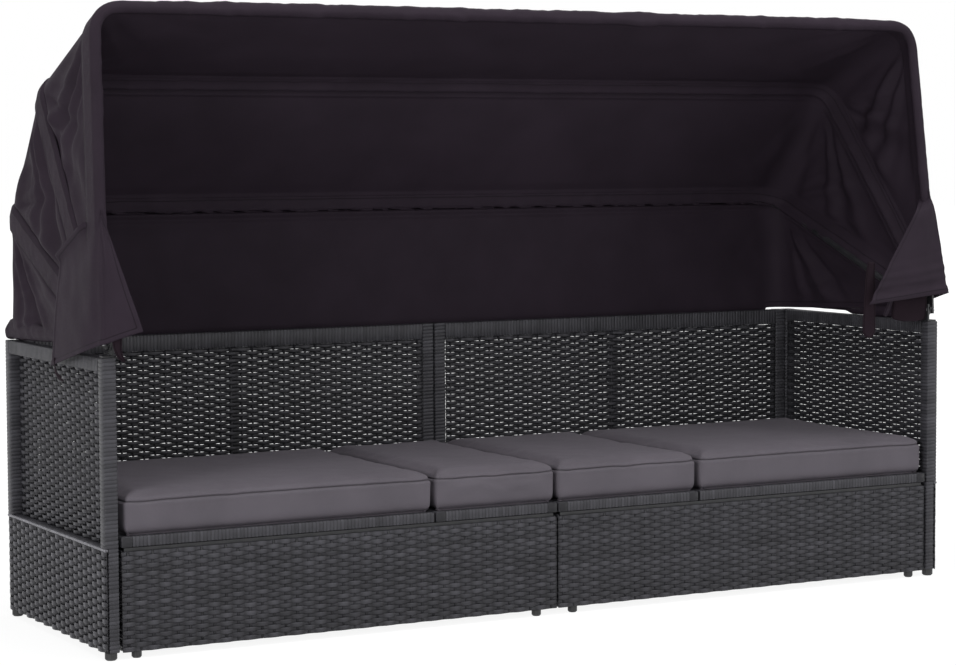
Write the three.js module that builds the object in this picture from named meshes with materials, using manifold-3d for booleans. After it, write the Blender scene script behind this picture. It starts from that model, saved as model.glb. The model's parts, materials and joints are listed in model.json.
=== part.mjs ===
// Outdoor daybed with a folding canopy: two woven arm frames and two woven back frames stand
// round a pair of pull-out benches, and three steel bows carry the canopy over them.
// Millimetres. X runs along the seat, Y to the back, Z up, with the origin on the floor
// under the middle of the whole. A distance called "out" is measured from the middle
// towards either arm.
import * as THREE from "three";
import { mergeVertices } from "three/addons/utils/BufferGeometryUtils.js";
import Module from "manifold-3d";

const wasm = await Module();
wasm.setup();

// Overall sizes
const overallLength = 2000;
const overallDepth = 576;
const armHeight = 581;
const glideHeight = 15;
const half = 0.5;
const halfLength = overallLength * half;
const setBack = 20; // how far the arms lie back to centre the whole with its flaps
const frontY = setBack - overallDepth * half;
const backY = setBack + overallDepth * half;

// Clearances
const seatGap = 0.3; // between pieces that touch
const benchGap = 6; // between a bench and the arm beside it
const middleGap = 4; // between the two benches
const slabGap = 4; // between two slabs of one bench
const overrun = 5; // how far a cut runs past what it cuts

// Arm frames: square posts and rails in their cane wrap
const postWidth = 28;
const armRailHeight = 28;
const midRailTop = 216;
const weaveThickness = 6;
const upperWeaveInset = 20; // from the outer face of the arm to the upper panel
const armInner = halfLength - postWidth;

// Back frames
const backThickness = 26;
const backMiddleGap = 3;
const topBandHeight = 36;
const stileWidth = 28;
const backMidRailDepth = 18; // of the middle rail and the strut behind the weave
const backStrutWidth = 18;

// Benches
const benchRearGap = 48; // from a bench's back edge to the back of the arms
const benchBackY = backY - benchRearGap;
const slabBottom = 215;
const slabShadow = 5; // the dark gap between a bench's woven skin and the slabs
const benchWeaveTop = slabBottom - slabShadow;
const slabHeight = 22;
const benchTube = 20;
const benchOuter = armInner - benchGap;
const benchInner = middleGap * half;
const benchFrameTop = slabBottom - seatGap;
const slabTop = slabBottom + slabHeight;

// Where each bench's seat is split, measured out from the middle
const splits = { left: 289, right: 353 };

// Slabs and their decks
const slabBar = 22;
const deckThickness = 5;
const deckBottom = slabTop - deckThickness;
const noseSides = 20;
const weldOverlap = 3; // how far welded parts run into each other
const noseRadius = slabHeight * half;
const noseWeb = 34; // from the hinge axis to the far side of the bar behind the nose
const hingeZ = slabBottom + noseRadius;

// Hinge of the tilting slab
const rodRadius = 4;
const boreClearance = 0.3;
const hingeLugThickness = 6;
const hingeLugReach = 8;
const hingeLugInset = 60; // from the bench's front and back to each lug
const lugSideGap = 1;
const lugClearRadius = 14;
const rodEnd = 6; // how far the rod stands out past each lug
const rodEndGap = 2;

// Stay that props the tilting slab
const stayRadius = 5;
const stayDrop = 17; // stay's plane below the hinge axis
const stayInset = 62; // stay's legs from the bench's front and back
const stayBend = 14;
const stayStub = 28;
const stayLugNear = 17;
const stayLugThickness = 6;
const stayLugReach = 8;
const stayLengthShare = 0.44; // of the tilting slab's length past its hinge

// Notched racks that the stay's foot stands in
const rackInset = 78;
const rackThickness = 8;
const rackHeight = 18;
const toothHeight = 5;
const footClearance = 1; // between the stay's foot and the teeth under it
const toothPitch = 30;
const toothCount = 6;
const toothInset = 84; // from the bench's outer end to the last tooth
const rackTop = hingeZ - stayDrop - stayRadius - footClearance - toothHeight;
const rackBottom = rackTop - rackHeight;

// Glides
const glideRadius = 12;
const benchGlideRadius = 10;
const glideRimShare = 0.75;
const glideChamfer = 3;
const glideSides = 14;
const benchGlideOuterInset = 33; // from a bench's outer end
const benchGlideInnerInset = 42; // from a bench's inner end

// Cushions
const cushionHeight = 76;
const cushionCrown = 9;
const cushionDrawnIn = 5;
const cushionRound = 20;
const roundMiddleShare = 0.45;
const cushionColumns = 10;
const cushionRows = 8;
const cushionLayers = 5;
const cushionOuterInset = 4;
const cushionFrontInset = 1;
const cushionBottom = slabTop + seatGap;

// Canopy bows: round tubes on one pivot line above the front posts
const bowRadius = 8;
const bowBend = 58;
const tubeSides = 8;
const bendSteps = 4;
const pivotHeight = 27; // of the pivot line above the arms
const pivotZ = armHeight + pivotHeight;
const pivotY = frontY + postWidth * half;
const bows = {
  front: { degrees: 87.2, reach: 638 },
  middle: { degrees: 54.4, reach: 615 },
  rear: { degrees: 23.7, reach: 600 },
};
const hemDegrees = -2.3;
const hemBehind = 2; // how far the hem hangs behind the backs
const hemReach = backY - pivotY + hemBehind;
const bowPlaneGap = 0.8; // between the rear bow's legs and the other bows' legs
const rightLean = 40; // how far the right-hand legs lean in at the front bow's crossbar
const leftLean = 1;

// Flat ends of the bows, stacked on the pivot bolt
const lugThickness = 4;
const bowLugWidth = 20;
const longLug = 150;
const shortLug = 40;
const lugOverlap = 12;
const bowBore = 4.4;
const boltRadius = 4;
const boltHeadRadius = 7;
const boltHeadHeight = 4.6;
const nutHeight = 6.4;
const boltSides = 12;
const hexSides = 6;
const bracketWidth = 20;
const bracketThickness = 4;
const bracketFoot = 3;
const bracketTop = 12; // above the pivot

// Canopy cloth
const clothThickness = 3;
const clothGap = 0.3;
const clothStart = 60; // from the pivot to where the side cloth begins
const clothSideSteps = 5;
const clothTopSteps = 9;
const clothRows = 8;
const sidePower = 12; // keeps the side folds off the roof
const clothEase = 60; // how far from a tube the cloth takes to sag fully
const roofGap = 1.9; // between a crossbar and the cloth that bends over it
const clothFrontReach = 3; // how far the front edge laps past the front bow
const sideSag = 9;
const sideFold = 3.5;
const sideFolds = 3;
const roofSag = 13;
const roofFold = 3;
const roofFolds = 5;
const seamDegrees = 0.15;

// Front flaps: skirts that hang round the front bow's feet. Each "up" is measured from the
// arm's top and each "down" below it, each "ahead" and "back" from its front face, each
// "out" from its outer face, and each "in" from the flap's own corner.
const flapThickness = 3;
const flapRows = 8;
const flapColumns = 14;
const flapFold = 4;
const flapFolds = 4;
const flapTurnShare = 5 / 14; // share of the columns that hang in front
const flaps = {
  left: {
    frontTopIn: 18,
    frontBottomIn: 90,
    frontTopUp: 240,
    frontBottomUp: 50,
    cornerBottomOut: 18,
    cornerTopBack: 4,
    cornerBottomAhead: 30,
    cornerBottomUp: 27,
    tailTopBack: 193,
    tailBottomBack: 228,
    tailTopUp: 214,
    tailBottomDown: 29,
  },
  right: {
    frontTopIn: 80,
    frontBottomIn: 238,
    frontTopUp: 298,
    frontBottomUp: 46,
    cornerBottomOut: 14,
    cornerTopBack: 4,
    cornerBottomAhead: 32,
    cornerBottomUp: 65,
    tailTopBack: 190,
    tailBottomBack: 270,
    tailTopUp: 240,
    tailBottomDown: 8,
  },
};

// Finishes
const cane = { color: 0x35353a, roughness: 0.6, metalness: 0 };
const blackSteel = { color: 0x17171a, roughness: 0.5, metalness: 0.6 };
const zincSteel = { color: 0x9a9b9e, roughness: 0.35, metalness: 1 };
const glidePlastic = { color: 0x101012, roughness: 0.55, metalness: 0 };
const cushionCloth = { color: 0x4a444c, roughness: 0.85, metalness: 0 };
const canopyCloth = { color: 0x241f26, roughness: 0.9, metalness: 0 };

// Helpers that turn geometries into solids and back
const sideSign = { left: -1, right: 1 };

function solid(geometry) {
  const bare = geometry.clone();
  bare.deleteAttribute("normal");
  bare.deleteAttribute("uv");
  const merged = mergeVertices(bare);
  return new wasm.Manifold(new wasm.Mesh({
    numProp: 3,
    vertProperties: new Float32Array(merged.attributes.position.array),
    triVerts: new Uint32Array(merged.index.array),
  }));
}

function geometryOf(body) {
  const mesh = body.getMesh();
  const geometry = new THREE.BufferGeometry();
  geometry.setAttribute("position", new THREE.BufferAttribute(mesh.vertProperties, mesh.numProp));
  geometry.setIndex(new THREE.BufferAttribute(mesh.triVerts, 1));
  geometry.computeVertexNormals();
  return geometry;
}

function joined(geometries, cuts = []) {
  let body = solid(geometries[0]);
  for (const geometry of geometries.slice(1)) body = body.add(solid(geometry));
  for (const geometry of cuts) body = body.subtract(solid(geometry));
  return geometryOf(body);
}

function box(x0, x1, y0, y1, z0, z1) {
  const geometry = new THREE.BoxGeometry(Math.abs(x1 - x0), y1 - y0, z1 - z0);
  return geometry.translate((x0 + x1) * half, (y0 + y1) * half, (z0 + z1) * half);
}

function cylinderY(radius, x, y0, y1, z, sides) {
  const geometry = new THREE.CylinderGeometry(radius, radius, y1 - y0, sides);
  return geometry.translate(x, (y0 + y1) * half, z);
}

function cylinderX(radius, x0, x1, y, z, sides) {
  const geometry = new THREE.CylinderGeometry(radius, radius, Math.abs(x1 - x0), sides);
  return geometry.rotateZ(Math.PI * half).translate((x0 + x1) * half, y, z);
}

function piece(name, geometry, finish) {
  const mesh = new THREE.Mesh(geometry, new THREE.MeshStandardMaterial(finish));
  mesh.name = name;
  return mesh;
}

// A curve that passes through listed stations, one ring of a tube at each
class Stations extends THREE.Curve {
  constructor(points) {
    super();
    this.points = points;
  }

  getPoint(share) {
    const last = this.points.length - 1;
    const place = Math.min(share, 1) * last;
    const index = Math.min(Math.floor(place + Number.EPSILON * last), last - 1);
    return this.points[index].clone().lerp(this.points[index + 1], place - index);
  }

  getPointAt(share) {
    return this.getPoint(share);
  }

  getTangentAt(share) {
    const last = this.points.length - 1;
    const index = Math.round(share * last);
    const before = this.points[Math.max(index - 1, 0)];
    const here = this.points[index];
    const after = this.points[Math.min(index + 1, last)];
    const tangent = new THREE.Vector3();
    if (index > 0) tangent.add(here.clone().sub(before).normalize());
    if (index < last) tangent.add(after.clone().sub(here).normalize());
    return tangent.normalize();
  }
}

function tubeThrough(points, radius, sides) {
  const section = new THREE.Shape();
  for (let corner = 0; corner < sides; corner += 1) {
    const angle = (2 * Math.PI * (corner + half)) / sides;
    const x = radius * Math.cos(angle);
    const y = radius * Math.sin(angle);
    if (corner === 0) section.moveTo(x, y);
    else section.lineTo(x, y);
  }
  section.closePath();
  return new THREE.ExtrudeGeometry(section, {
    steps: points.length - 1,
    extrudePath: new Stations(points),
  });
}

// A round corner from one leg to the next, as the stations of a quadratic curve
function corner(before, at, after, reach, steps) {
  const start = at.clone().add(before.clone().sub(at).setLength(reach));
  const end = at.clone().add(after.clone().sub(at).setLength(reach));
  return new THREE.QuadraticBezierCurve3(start, at, end).getPoints(steps);
}

// A box with its three directions laid out by place(u, v, w), each from 0 to 1
function bentBox(columns, layers, rows, place) {
  const geometry = new THREE.BoxGeometry(1, 1, 1, columns, layers, rows);
  geometry.translate(half, half, half);
  const position = geometry.attributes.position;
  for (let index = 0; index < position.count; index += 1) {
    const point = place(position.getX(index), position.getY(index), position.getZ(index));
    position.setXYZ(index, point.x, point.y, point.z);
  }
  return geometryOf(solid(geometry));
}

// Arm frames and their woven panels

function armX(side, inset) {
  return sideSign[side] * (halfLength - inset);
}

function armFrame(side) {
  const outer = armX(side, 0);
  const inner = armX(side, postWidth);
  const bars = [
    box(outer, inner, frontY, frontY + postWidth, glideHeight, armHeight),
    box(outer, inner, backY - postWidth, backY, glideHeight, armHeight),
    box(outer, inner, frontY, backY, armHeight - armRailHeight, armHeight),
    box(outer, inner, frontY, backY, midRailTop - armRailHeight, midRailTop),
    box(outer, inner, frontY, backY, glideHeight, glideHeight + armRailHeight),
  ];
  return piece(`arm_frame_${side}`, joined(bars), cane);
}

function armWeave(side, name, inset, bottom, top) {
  const y0 = frontY + postWidth + seatGap;
  const y1 = backY - postWidth - seatGap;
  const x0 = armX(side, inset);
  const x1 = armX(side, inset + weaveThickness);
  return piece(`${name}_${side}`, box(x0, x1, y0, y1, bottom + seatGap, top - seatGap), cane);
}

function arm(side) {
  return [
    armFrame(side),
    armWeave(side, "arm_upper_weave", upperWeaveInset, midRailTop, armHeight - armRailHeight),
    armWeave(side, "arm_lower_weave", 0, glideHeight + armRailHeight, midRailTop - armRailHeight),
  ];
}

// Back frames: one on each side of the middle, both reaching the floor there

function backFrame(side) {
  const sign = sideSign[side];
  const outer = sign * (armInner - seatGap);
  const inner = sign * backMiddleGap * half;
  const face = backY - backThickness;
  const behind = backY - backMidRailDepth;
  const middle = (outer + inner) * half;
  const strut = [middle - backStrutWidth * half, middle + backStrutWidth * half];
  const bars = [
    box(outer, inner, face, backY, armHeight - topBandHeight, armHeight),
    box(outer, outer - sign * stileWidth, face, backY, glideHeight, armHeight),
    box(inner, inner + sign * stileWidth, face, backY, glideHeight, armHeight),
    box(outer, inner, face, backY, glideHeight, glideHeight + armRailHeight),
    box(outer, inner, behind, backY, midRailTop - armRailHeight, midRailTop),
    box(...strut, behind, backY, glideHeight, armHeight),
  ];
  return piece(`back_frame_${side}`, joined(bars), cane);
}

function backWeave(side) {
  const sign = sideSign[side];
  const outer = sign * (armInner - stileWidth - seatGap - seatGap);
  const inner = sign * (backMiddleGap * half + stileWidth + seatGap);
  const face = backY - backThickness;
  const bottom = glideHeight + armRailHeight + seatGap;
  const top = armHeight - topBandHeight - seatGap;
  return piece(`back_weave_${side}`, box(outer, inner, face, face + weaveThickness, bottom, top), cane);
}

// A round glide: narrower where it meets the floor
function glide(name, radius, x, y) {
  const top = glideHeight - seatGap;
  const rim = radius * glideRimShare;
  const profile = [
    [0, 0],
    [rim, 0],
    [radius, glideChamfer],
    [radius, top],
    [0, top],
  ].map(([r, z]) => new THREE.Vector2(r, z));
  const geometry = new THREE.LatheGeometry(profile, glideSides);
  const mesh = piece(name, geometryOf(solid(geometry.rotateX(Math.PI * half))), glidePlastic);
  mesh.position.set(x, y, 0);
  return mesh;
}

function frameGlides(side) {
  const sign = sideSign[side];
  const postX = sign * (halfLength - postWidth * half);
  const middleX = sign * (backMiddleGap + stileWidth) * half;
  return [
    glide(`glide_front_post_${side}`, glideRadius, postX, frontY + postWidth * half),
    glide(`glide_rear_post_${side}`, glideRadius, postX, backY - postWidth * half),
    glide(`glide_back_middle_${side}`, glideRadius, middleX, backY - backThickness * half),
  ];
}

// Benches. Their inner sizes, all measured out from the middle
const benchFrameOuter = benchOuter - weaveThickness - seatGap;
const benchFrameInner = benchInner + weaveThickness + seatGap;
const benchFrameFront = frontY + weaveThickness + seatGap;

function benchSizes(side) {
  const sign = sideSign[side];
  const axis = splits[side] + slabGap * half + noseRadius;
  const stayLength = (benchOuter - axis) * stayLengthShare;
  return { sign, axis, stayLength };
}

function rack(side, y) {
  const { sign, axis } = benchSizes(side);
  const profile = new THREE.Shape();
  const start = axis + benchTube * half - weldOverlap;
  const end = benchFrameOuter - benchTube + weldOverlap;
  profile.moveTo(sign * start, rackBottom);
  profile.lineTo(sign * end, rackBottom);
  profile.lineTo(sign * end, rackTop);
  for (let tooth = toothCount - 1; tooth >= 0; tooth -= 1) {
    const foot = benchOuter - toothInset - (toothCount - tooth) * toothPitch;
    profile.lineTo(sign * (foot + toothPitch * half), rackTop);
    profile.lineTo(sign * foot, rackTop + toothHeight);
    profile.lineTo(sign * foot, rackTop);
  }
  profile.lineTo(sign * start, rackTop);
  profile.closePath();
  const geometry = new THREE.ExtrudeGeometry(profile, { depth: rackThickness, bevelEnabled: false });
  return geometry.rotateX(Math.PI * half).translate(0, y + rackThickness * half, 0);
}

function benchFrame(side) {
  const { sign, axis } = benchSizes(side);
  const outer = sign * benchFrameOuter;
  const inner = sign * benchFrameInner;
  const bars = [];
  for (const y of [benchFrameFront, benchBackY - benchTube]) {
    for (const x of [outer, inner + sign * benchTube]) {
      bars.push(box(x, x - sign * benchTube, y, y + benchTube, glideHeight, benchFrameTop));
    }
    bars.push(box(outer, inner, y, y + benchTube, glideHeight, glideHeight + benchTube));
    bars.push(box(outer, inner, y, y + benchTube, benchFrameTop - benchTube, benchFrameTop));
  }
  for (const z of [glideHeight, benchFrameTop - benchTube]) {
    bars.push(box(outer, outer - sign * benchTube, benchFrameFront, benchBackY, z, z + benchTube));
    bars.push(box(inner, inner + sign * benchTube, benchFrameFront, benchBackY, z, z + benchTube));
  }
  const crossX = sign * axis;
  const crossFaces = [crossX - benchTube * half, crossX + benchTube * half];
  bars.push(box(...crossFaces, benchFrameFront, benchBackY, benchFrameTop - benchTube, benchFrameTop));
  const cuts = [];
  for (const y of [frontY + hingeLugInset, benchBackY - hingeLugInset - hingeLugThickness]) {
    const x0 = crossX - hingeLugReach;
    const x1 = crossX + hingeLugReach;
    bars.push(box(x0, x1, y, y + hingeLugThickness, benchFrameTop - weldOverlap, hingeZ + hingeLugReach));
    const bore = rodRadius + boreClearance;
    cuts.push(cylinderY(bore, crossX, y - overrun, y + hingeLugThickness + overrun, hingeZ, boltSides));
  }
  bars.push(rack(side, frontY + rackInset));
  bars.push(rack(side, benchBackY - rackInset));
  return piece(`bench_frame_${side}`, joined(bars, cuts), blackSteel);
}

function benchWeaves(side) {
  const { sign } = benchSizes(side);
  const outer = sign * benchOuter;
  const inner = sign * benchInner;
  const skin = sign * weaveThickness;
  const behind = frontY + weaveThickness + seatGap;
  const front = box(outer, inner, frontY, frontY + weaveThickness, glideHeight, benchWeaveTop);
  const outerEnd = box(outer, outer - skin, behind, benchBackY, glideHeight, benchWeaveTop);
  const innerEnd = box(inner, inner + skin, behind, benchBackY, glideHeight, benchWeaveTop);
  return [
    piece(`bench_front_weave_${side}`, front, cane),
    piece(`bench_outer_weave_${side}`, outerEnd, cane),
    piece(`bench_inner_weave_${side}`, innerEnd, cane),
  ];
}

function benchGlides(side) {
  const { sign } = benchSizes(side);
  const outer = sign * (benchOuter - benchGlideOuterInset);
  const inner = sign * (benchInner + benchGlideInnerInset);
  const front = benchFrameFront + benchTube * half;
  const rear = benchBackY - benchTube * half;
  return [
    glide(`bench_glide_front_outer_${side}`, benchGlideRadius, outer, front),
    glide(`bench_glide_front_inner_${side}`, benchGlideRadius, inner, front),
    glide(`bench_glide_rear_outer_${side}`, benchGlideRadius, outer, rear),
    glide(`bench_glide_rear_inner_${side}`, benchGlideRadius, inner, rear),
  ];
}

function hingeRod(side) {
  const { sign, axis } = benchSizes(side);
  const y0 = frontY + hingeLugInset - rodEnd;
  const y1 = benchBackY - hingeLugInset + rodEnd;
  const geometry = cylinderY(rodRadius, sign * axis, y0, y1, hingeZ, boltSides);
  return piece(`hinge_rod_${side}`, geometry, zincSteel);
}

// The slab beside the arm: its inner bar is a round nose on the hinge rod
function tiltSlabFrame(side) {
  const { sign, axis, stayLength } = benchSizes(side);
  const outer = sign * benchOuter;
  const hingeX = sign * axis;
  const stayX = sign * (axis + stayLength);
  const webX = hingeX + sign * noseWeb;
  const stayFaces = [stayX - slabBar * half, stayX + slabBar * half];
  const bars = [
    box(outer, hingeX, frontY, frontY + slabBar, slabBottom, slabTop),
    box(outer, hingeX, benchBackY - slabBar, benchBackY, slabBottom, slabTop),
    box(outer, outer - sign * slabBar, frontY, benchBackY, slabBottom, slabTop),
    box(hingeX, webX, frontY, benchBackY, slabBottom, slabTop),
    cylinderY(noseRadius, hingeX, frontY, benchBackY, hingeZ, noseSides),
    box(...stayFaces, frontY, benchBackY, slabBottom, deckBottom - seatGap),
  ];
  const cuts = [];
  const stayZ = hingeZ - stayDrop;
  const stayBore = stayRadius + boreClearance;
  for (const [edge, inwards] of [[frontY, 1], [benchBackY, -1]]) {
    const near = edge + inwards * (stayInset - stayLugNear);
    const far = near - inwards * stayLugThickness;
    const y0 = Math.min(near, far);
    const y1 = Math.max(near, far);
    const lugX = [stayX - stayLugReach, stayX + stayLugReach];
    bars.push(box(...lugX, y0, y1, stayZ - stayLugReach, slabBottom + weldOverlap));
    cuts.push(cylinderY(stayBore, stayX, y0 - overrun, y1 + overrun, stayZ, boltSides));
  }
  for (const y of [frontY + hingeLugInset, benchBackY - hingeLugInset - hingeLugThickness]) {
    const y0 = y - lugSideGap;
    const y1 = y + hingeLugThickness + lugSideGap;
    cuts.push(cylinderY(lugClearRadius, hingeX, y0, y1, hingeZ, noseSides));
  }
  const y0 = frontY + hingeLugInset - rodEnd - rodEndGap;
  const y1 = benchBackY - hingeLugInset + rodEnd + rodEndGap;
  cuts.push(cylinderY(rodRadius + boreClearance, hingeX, y0, y1, hingeZ, boltSides));
  return piece(`tilt_slab_frame_${side}`, joined(bars, cuts), cane);
}

function deck(name, side, outerOut, innerOut) {
  const sign = sideSign[side];
  const y0 = frontY + slabBar + seatGap;
  const y1 = benchBackY - slabBar - seatGap;
  const outer = sign * (outerOut - seatGap);
  const inner = sign * (innerOut + seatGap);
  return piece(`${name}_${side}`, box(outer, inner, y0, y1, deckBottom, slabTop), cane);
}

function fixedSlabFrame(side) {
  const sign = sideSign[side];
  const innerOut = benchInner;
  const outerOut = splits[side] - slabGap * half;
  const inner = sign * innerOut;
  const outer = sign * outerOut;
  const middle = (inner + outer) * half;
  const crossFaces = [middle - slabBar * half, middle + slabBar * half];
  const bars = [
    box(outer, inner, frontY, frontY + slabBar, slabBottom, slabTop),
    box(outer, inner, benchBackY - slabBar, benchBackY, slabBottom, slabTop),
    box(outer, outer - sign * slabBar, frontY, benchBackY, slabBottom, slabTop),
    box(inner, inner + sign * slabBar, frontY, benchBackY, slabBottom, slabTop),
    box(...crossFaces, frontY, benchBackY, slabBottom, deckBottom - seatGap),
  ];
  return piece(`fixed_slab_frame_${side}`, joined(bars), cane);
}

function slabs(side) {
  const { axis } = benchSizes(side);
  return [
    tiltSlabFrame(side),
    deck("tilt_slab_weave", side, benchOuter - slabBar, axis + noseWeb),
    fixedSlabFrame(side),
    deck("fixed_slab_weave", side, splits[side] - slabGap * half - slabBar, benchInner + slabBar),
  ];
}

// The stay: a bent rod whose ends turn out through the slab's lugs
function stay(side) {
  const { sign, axis, stayLength } = benchSizes(side);
  const top = sign * (axis + stayLength);
  const foot = sign * (axis + stayLength + stayLength);
  const z = hingeZ - stayDrop;
  const front = frontY + stayInset;
  const back = benchBackY - stayInset;
  const at = (x, y) => new THREE.Vector3(x, y, z);
  const ends = [at(top, front - stayStub), at(top, back + stayStub)];
  const corners = [at(top, front), at(foot, front), at(foot, back), at(top, back)];
  const route = [ends[0], ...corners, ends[1]];
  const points = [route[0]];
  for (let index = 1; index < route.length - 1; index += 1) {
    points.push(...corner(route[index - 1], route[index], route[index + 1], stayBend, bendSteps));
  }
  points.push(route[route.length - 1]);
  return piece(`stay_${side}`, tubeThrough(points, stayRadius, tubeSides), blackSteel);
}

// A cushion: rounded all round, crowned on top, its sides drawn in between the corners
function cushion(name, innerX, outerX) {
  const size = new THREE.Vector3(
    Math.abs(outerX - innerX),
    benchBackY - frontY - cushionFrontInset - cushionFrontInset,
    cushionHeight,
  ).multiplyScalar(half);
  const stations = (share, count, reach) => {
    const inner = reach - cushionRound;
    const step = 1 / count;
    if (share < step * half) return -reach;
    if (share < step + step * half) return -reach + cushionRound * roundMiddleShare;
    if (share > 1 - step * half) return reach;
    if (share > 1 - step - step * half) return reach - cushionRound * roundMiddleShare;
    return THREE.MathUtils.mapLinear(share, step + step, 1 - step - step, -inner, inner);
  };
  const place = (u, v, w) => {
    const point = new THREE.Vector3(
      stations(u, cushionColumns, size.x),
      stations(v, cushionRows, size.y),
      stations(w, cushionLayers, size.z),
    );
    const core = size.clone().subScalar(cushionRound);
    const centre = point.clone().clamp(core.clone().negate(), core);
    const out = point.clone().sub(centre);
    if (out.length() > 0) out.setLength(cushionRound);
    point.copy(centre).add(out);
    const a = point.x / size.x;
    const b = point.y / size.y;
    const acrossX = 1 - a * a;
    const acrossY = 1 - b * b;
    const upper = Math.max(point.z / size.z, 0);
    point.x -= a * cushionDrawnIn * acrossY;
    point.y -= b * cushionDrawnIn * acrossX;
    point.z += cushionCrown * upper * (1 - a ** 4) * (1 - b ** 4);
    return point;
  };
  const geometry = bentBox(cushionColumns, cushionRows, cushionLayers, place);
  const mesh = piece(name, geometry, cushionCloth);
  const middleY = (frontY + benchBackY) * half;
  mesh.position.set((innerX + outerX) * half, middleY, cushionBottom + cushionHeight * half);
  return mesh;
}

function cushions(side) {
  const sign = sideSign[side];
  const split = splits[side];
  const tiltInner = sign * (split + slabGap * half);
  const tiltOuter = sign * (benchOuter - cushionOuterInset);
  return [
    cushion(`tilt_cushion_${side}`, tiltInner, tiltOuter),
    cushion(`fixed_cushion_${side}`, sign * benchInner, sign * (split - slabGap * half)),
  ];
}

function bench(side) {
  const group = new THREE.Group();
  group.add(benchFrame(side), ...benchWeaves(side), ...benchGlides(side), hingeRod(side));
  group.add(...slabs(side), stay(side), ...cushions(side));
  return group;
}

// Canopy. Each bow lies in a plane through the pivot line, where "reach" is the distance
// from that line. Past their flat ends the legs lean in a little as they rise.

const bowFlat = bowRadius * Math.cos(Math.PI / tubeSides);
const bowPlane = halfLength - clothThickness - clothGap - bowFlat;
const rearBowPlane = bowPlane - bowRadius - bowRadius - bowPlaneGap;

function leanAt(sign, reach) {
  const lean = sign < 0 ? leftLean : rightLean;
  return (lean * Math.max(reach - longLug, 0)) / (bows.front.reach - longLug);
}

function hoopX(sign, plane, reach) {
  return sign * (plane - leanAt(sign, reach));
}

function lugStack(index) {
  // Centre of each flat end, counted inwards from the front bow's
  return bowPlane - index * (lugThickness + seatGap);
}

function bow(name, plane, index, lugLength) {
  const { degrees, reach } = bows[name];
  const flat = (x, r) => new THREE.Vector3(x, r, 0);
  const points = [flat(hoopX(-1, plane, lugLength), lugLength)];
  const left = flat(hoopX(-1, plane, reach), reach);
  const right = flat(hoopX(1, plane, reach), reach);
  const rightEnd = flat(hoopX(1, plane, lugLength), lugLength);
  points.push(...corner(points[0], left, right, bowBend, bendSteps));
  points.push(...corner(left, right, rightEnd, bowBend, bendSteps));
  points.push(rightEnd);
  const parts = [tubeThrough(points, bowRadius, tubeSides)];
  const cuts = [];
  for (const sign of [-1, 1]) {
    const x = sign * lugStack(index);
    const thick = lugThickness * half;
    const wide = bowLugWidth * half;
    parts.push(box(x - thick, x + thick, -wide, lugLength + lugOverlap, -wide, wide));
    cuts.push(cylinderX(bowBore, x - thick - overrun, x + thick + overrun, 0, 0, boltSides));
  }
  const mesh = piece(`bow_${name}`, joined(parts, cuts), blackSteel);
  mesh.rotation.x = THREE.MathUtils.degToRad(degrees);
  return mesh;
}

const stackInner = lugStack(2) - lugThickness * half - seatGap;
const bracketOuterFace = stackInner;
const bracketInnerFace = bracketOuterFace - bracketThickness;

function bracket(side) {
  const sign = sideSign[side];
  const wide = bracketWidth * half;
  const footZ = armHeight + seatGap - pivotZ;
  const upright = box(sign * bracketOuterFace, sign * bracketInnerFace, -wide, wide, footZ, bracketTop);
  const footOuter = sign * (halfLength - bracketFoot);
  const foot = box(footOuter, sign * bracketInnerFace, -wide, wide, footZ, footZ + bracketFoot);
  const x0 = sign * (bracketOuterFace + overrun);
  const x1 = sign * (bracketInnerFace - overrun);
  const bore = cylinderX(bowBore, x0, x1, 0, 0, boltSides);
  return piece(`bow_bracket_${side}`, joined([upright, foot], [bore]), blackSteel);
}

function pivotBolt(side) {
  const sign = sideSign[side];
  const headFace = sign * (lugStack(0) + lugThickness * half + seatGap);
  const nutFace = sign * (bracketInnerFace - seatGap);
  const head = cylinderX(boltHeadRadius, headFace, headFace + sign * boltHeadHeight, 0, 0, boltSides);
  const nut = cylinderX(boltHeadRadius, nutFace, nutFace - sign * nutHeight, 0, 0, hexSides);
  const shankHead = headFace + sign * weldOverlap;
  const shank = cylinderX(boltRadius, shankHead, nutFace - sign * weldOverlap, 0, 0, boltSides);
  return piece(`pivot_bolt_${side}`, joined([head, nut, shank]), zincSteel);
}

// Stations of the cloth over a hoop: up one side, round the corner, across and down again
function hoopStations(inset, reach) {
  const plane = halfLength - inset;
  const at = (sign, r) => new THREE.Vector3(hoopX(sign, plane, r), r, 0);
  const left = at(-1, reach);
  const right = at(1, reach);
  const bend = bowBend + bowRadius - inset;
  const leftCorner = corner(at(-1, longLug), left, right, bend, bendSteps);
  const rightCorner = corner(left, right, at(1, longLug), bend, bendSteps);
  const sideReach = leftCorner[0].y;
  const reaches = [clothStart];
  for (let step = 0; step < clothSideSteps; step += 1) {
    reaches.push(THREE.MathUtils.lerp(longLug, sideReach, step / clothSideSteps));
  }
  const points = reaches.map((r) => at(-1, r));
  points.push(...leftCorner);
  for (let step = 1; step < clothTopSteps; step += 1) {
    points.push(leftCorner[bendSteps].clone().lerp(rightCorner[0], step / clothTopSteps));
  }
  points.push(...rightCorner, ...reaches.reverse().map((r) => at(1, r)));
  return points;
}

// Spaces a panel's rows so that its first and last strips lie flat along the tubes
function rowShare(row, edgeShare) {
  const strip = 1 / clothRows;
  if (row < strip) return (row / strip) * edgeShare;
  if (row > 1 - strip) return 1 - ((1 - row) / strip) * edgeShare;
  return THREE.MathUtils.mapLinear(row, strip, 1 - strip, edgeShare, 1 - edgeShare);
}

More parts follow.
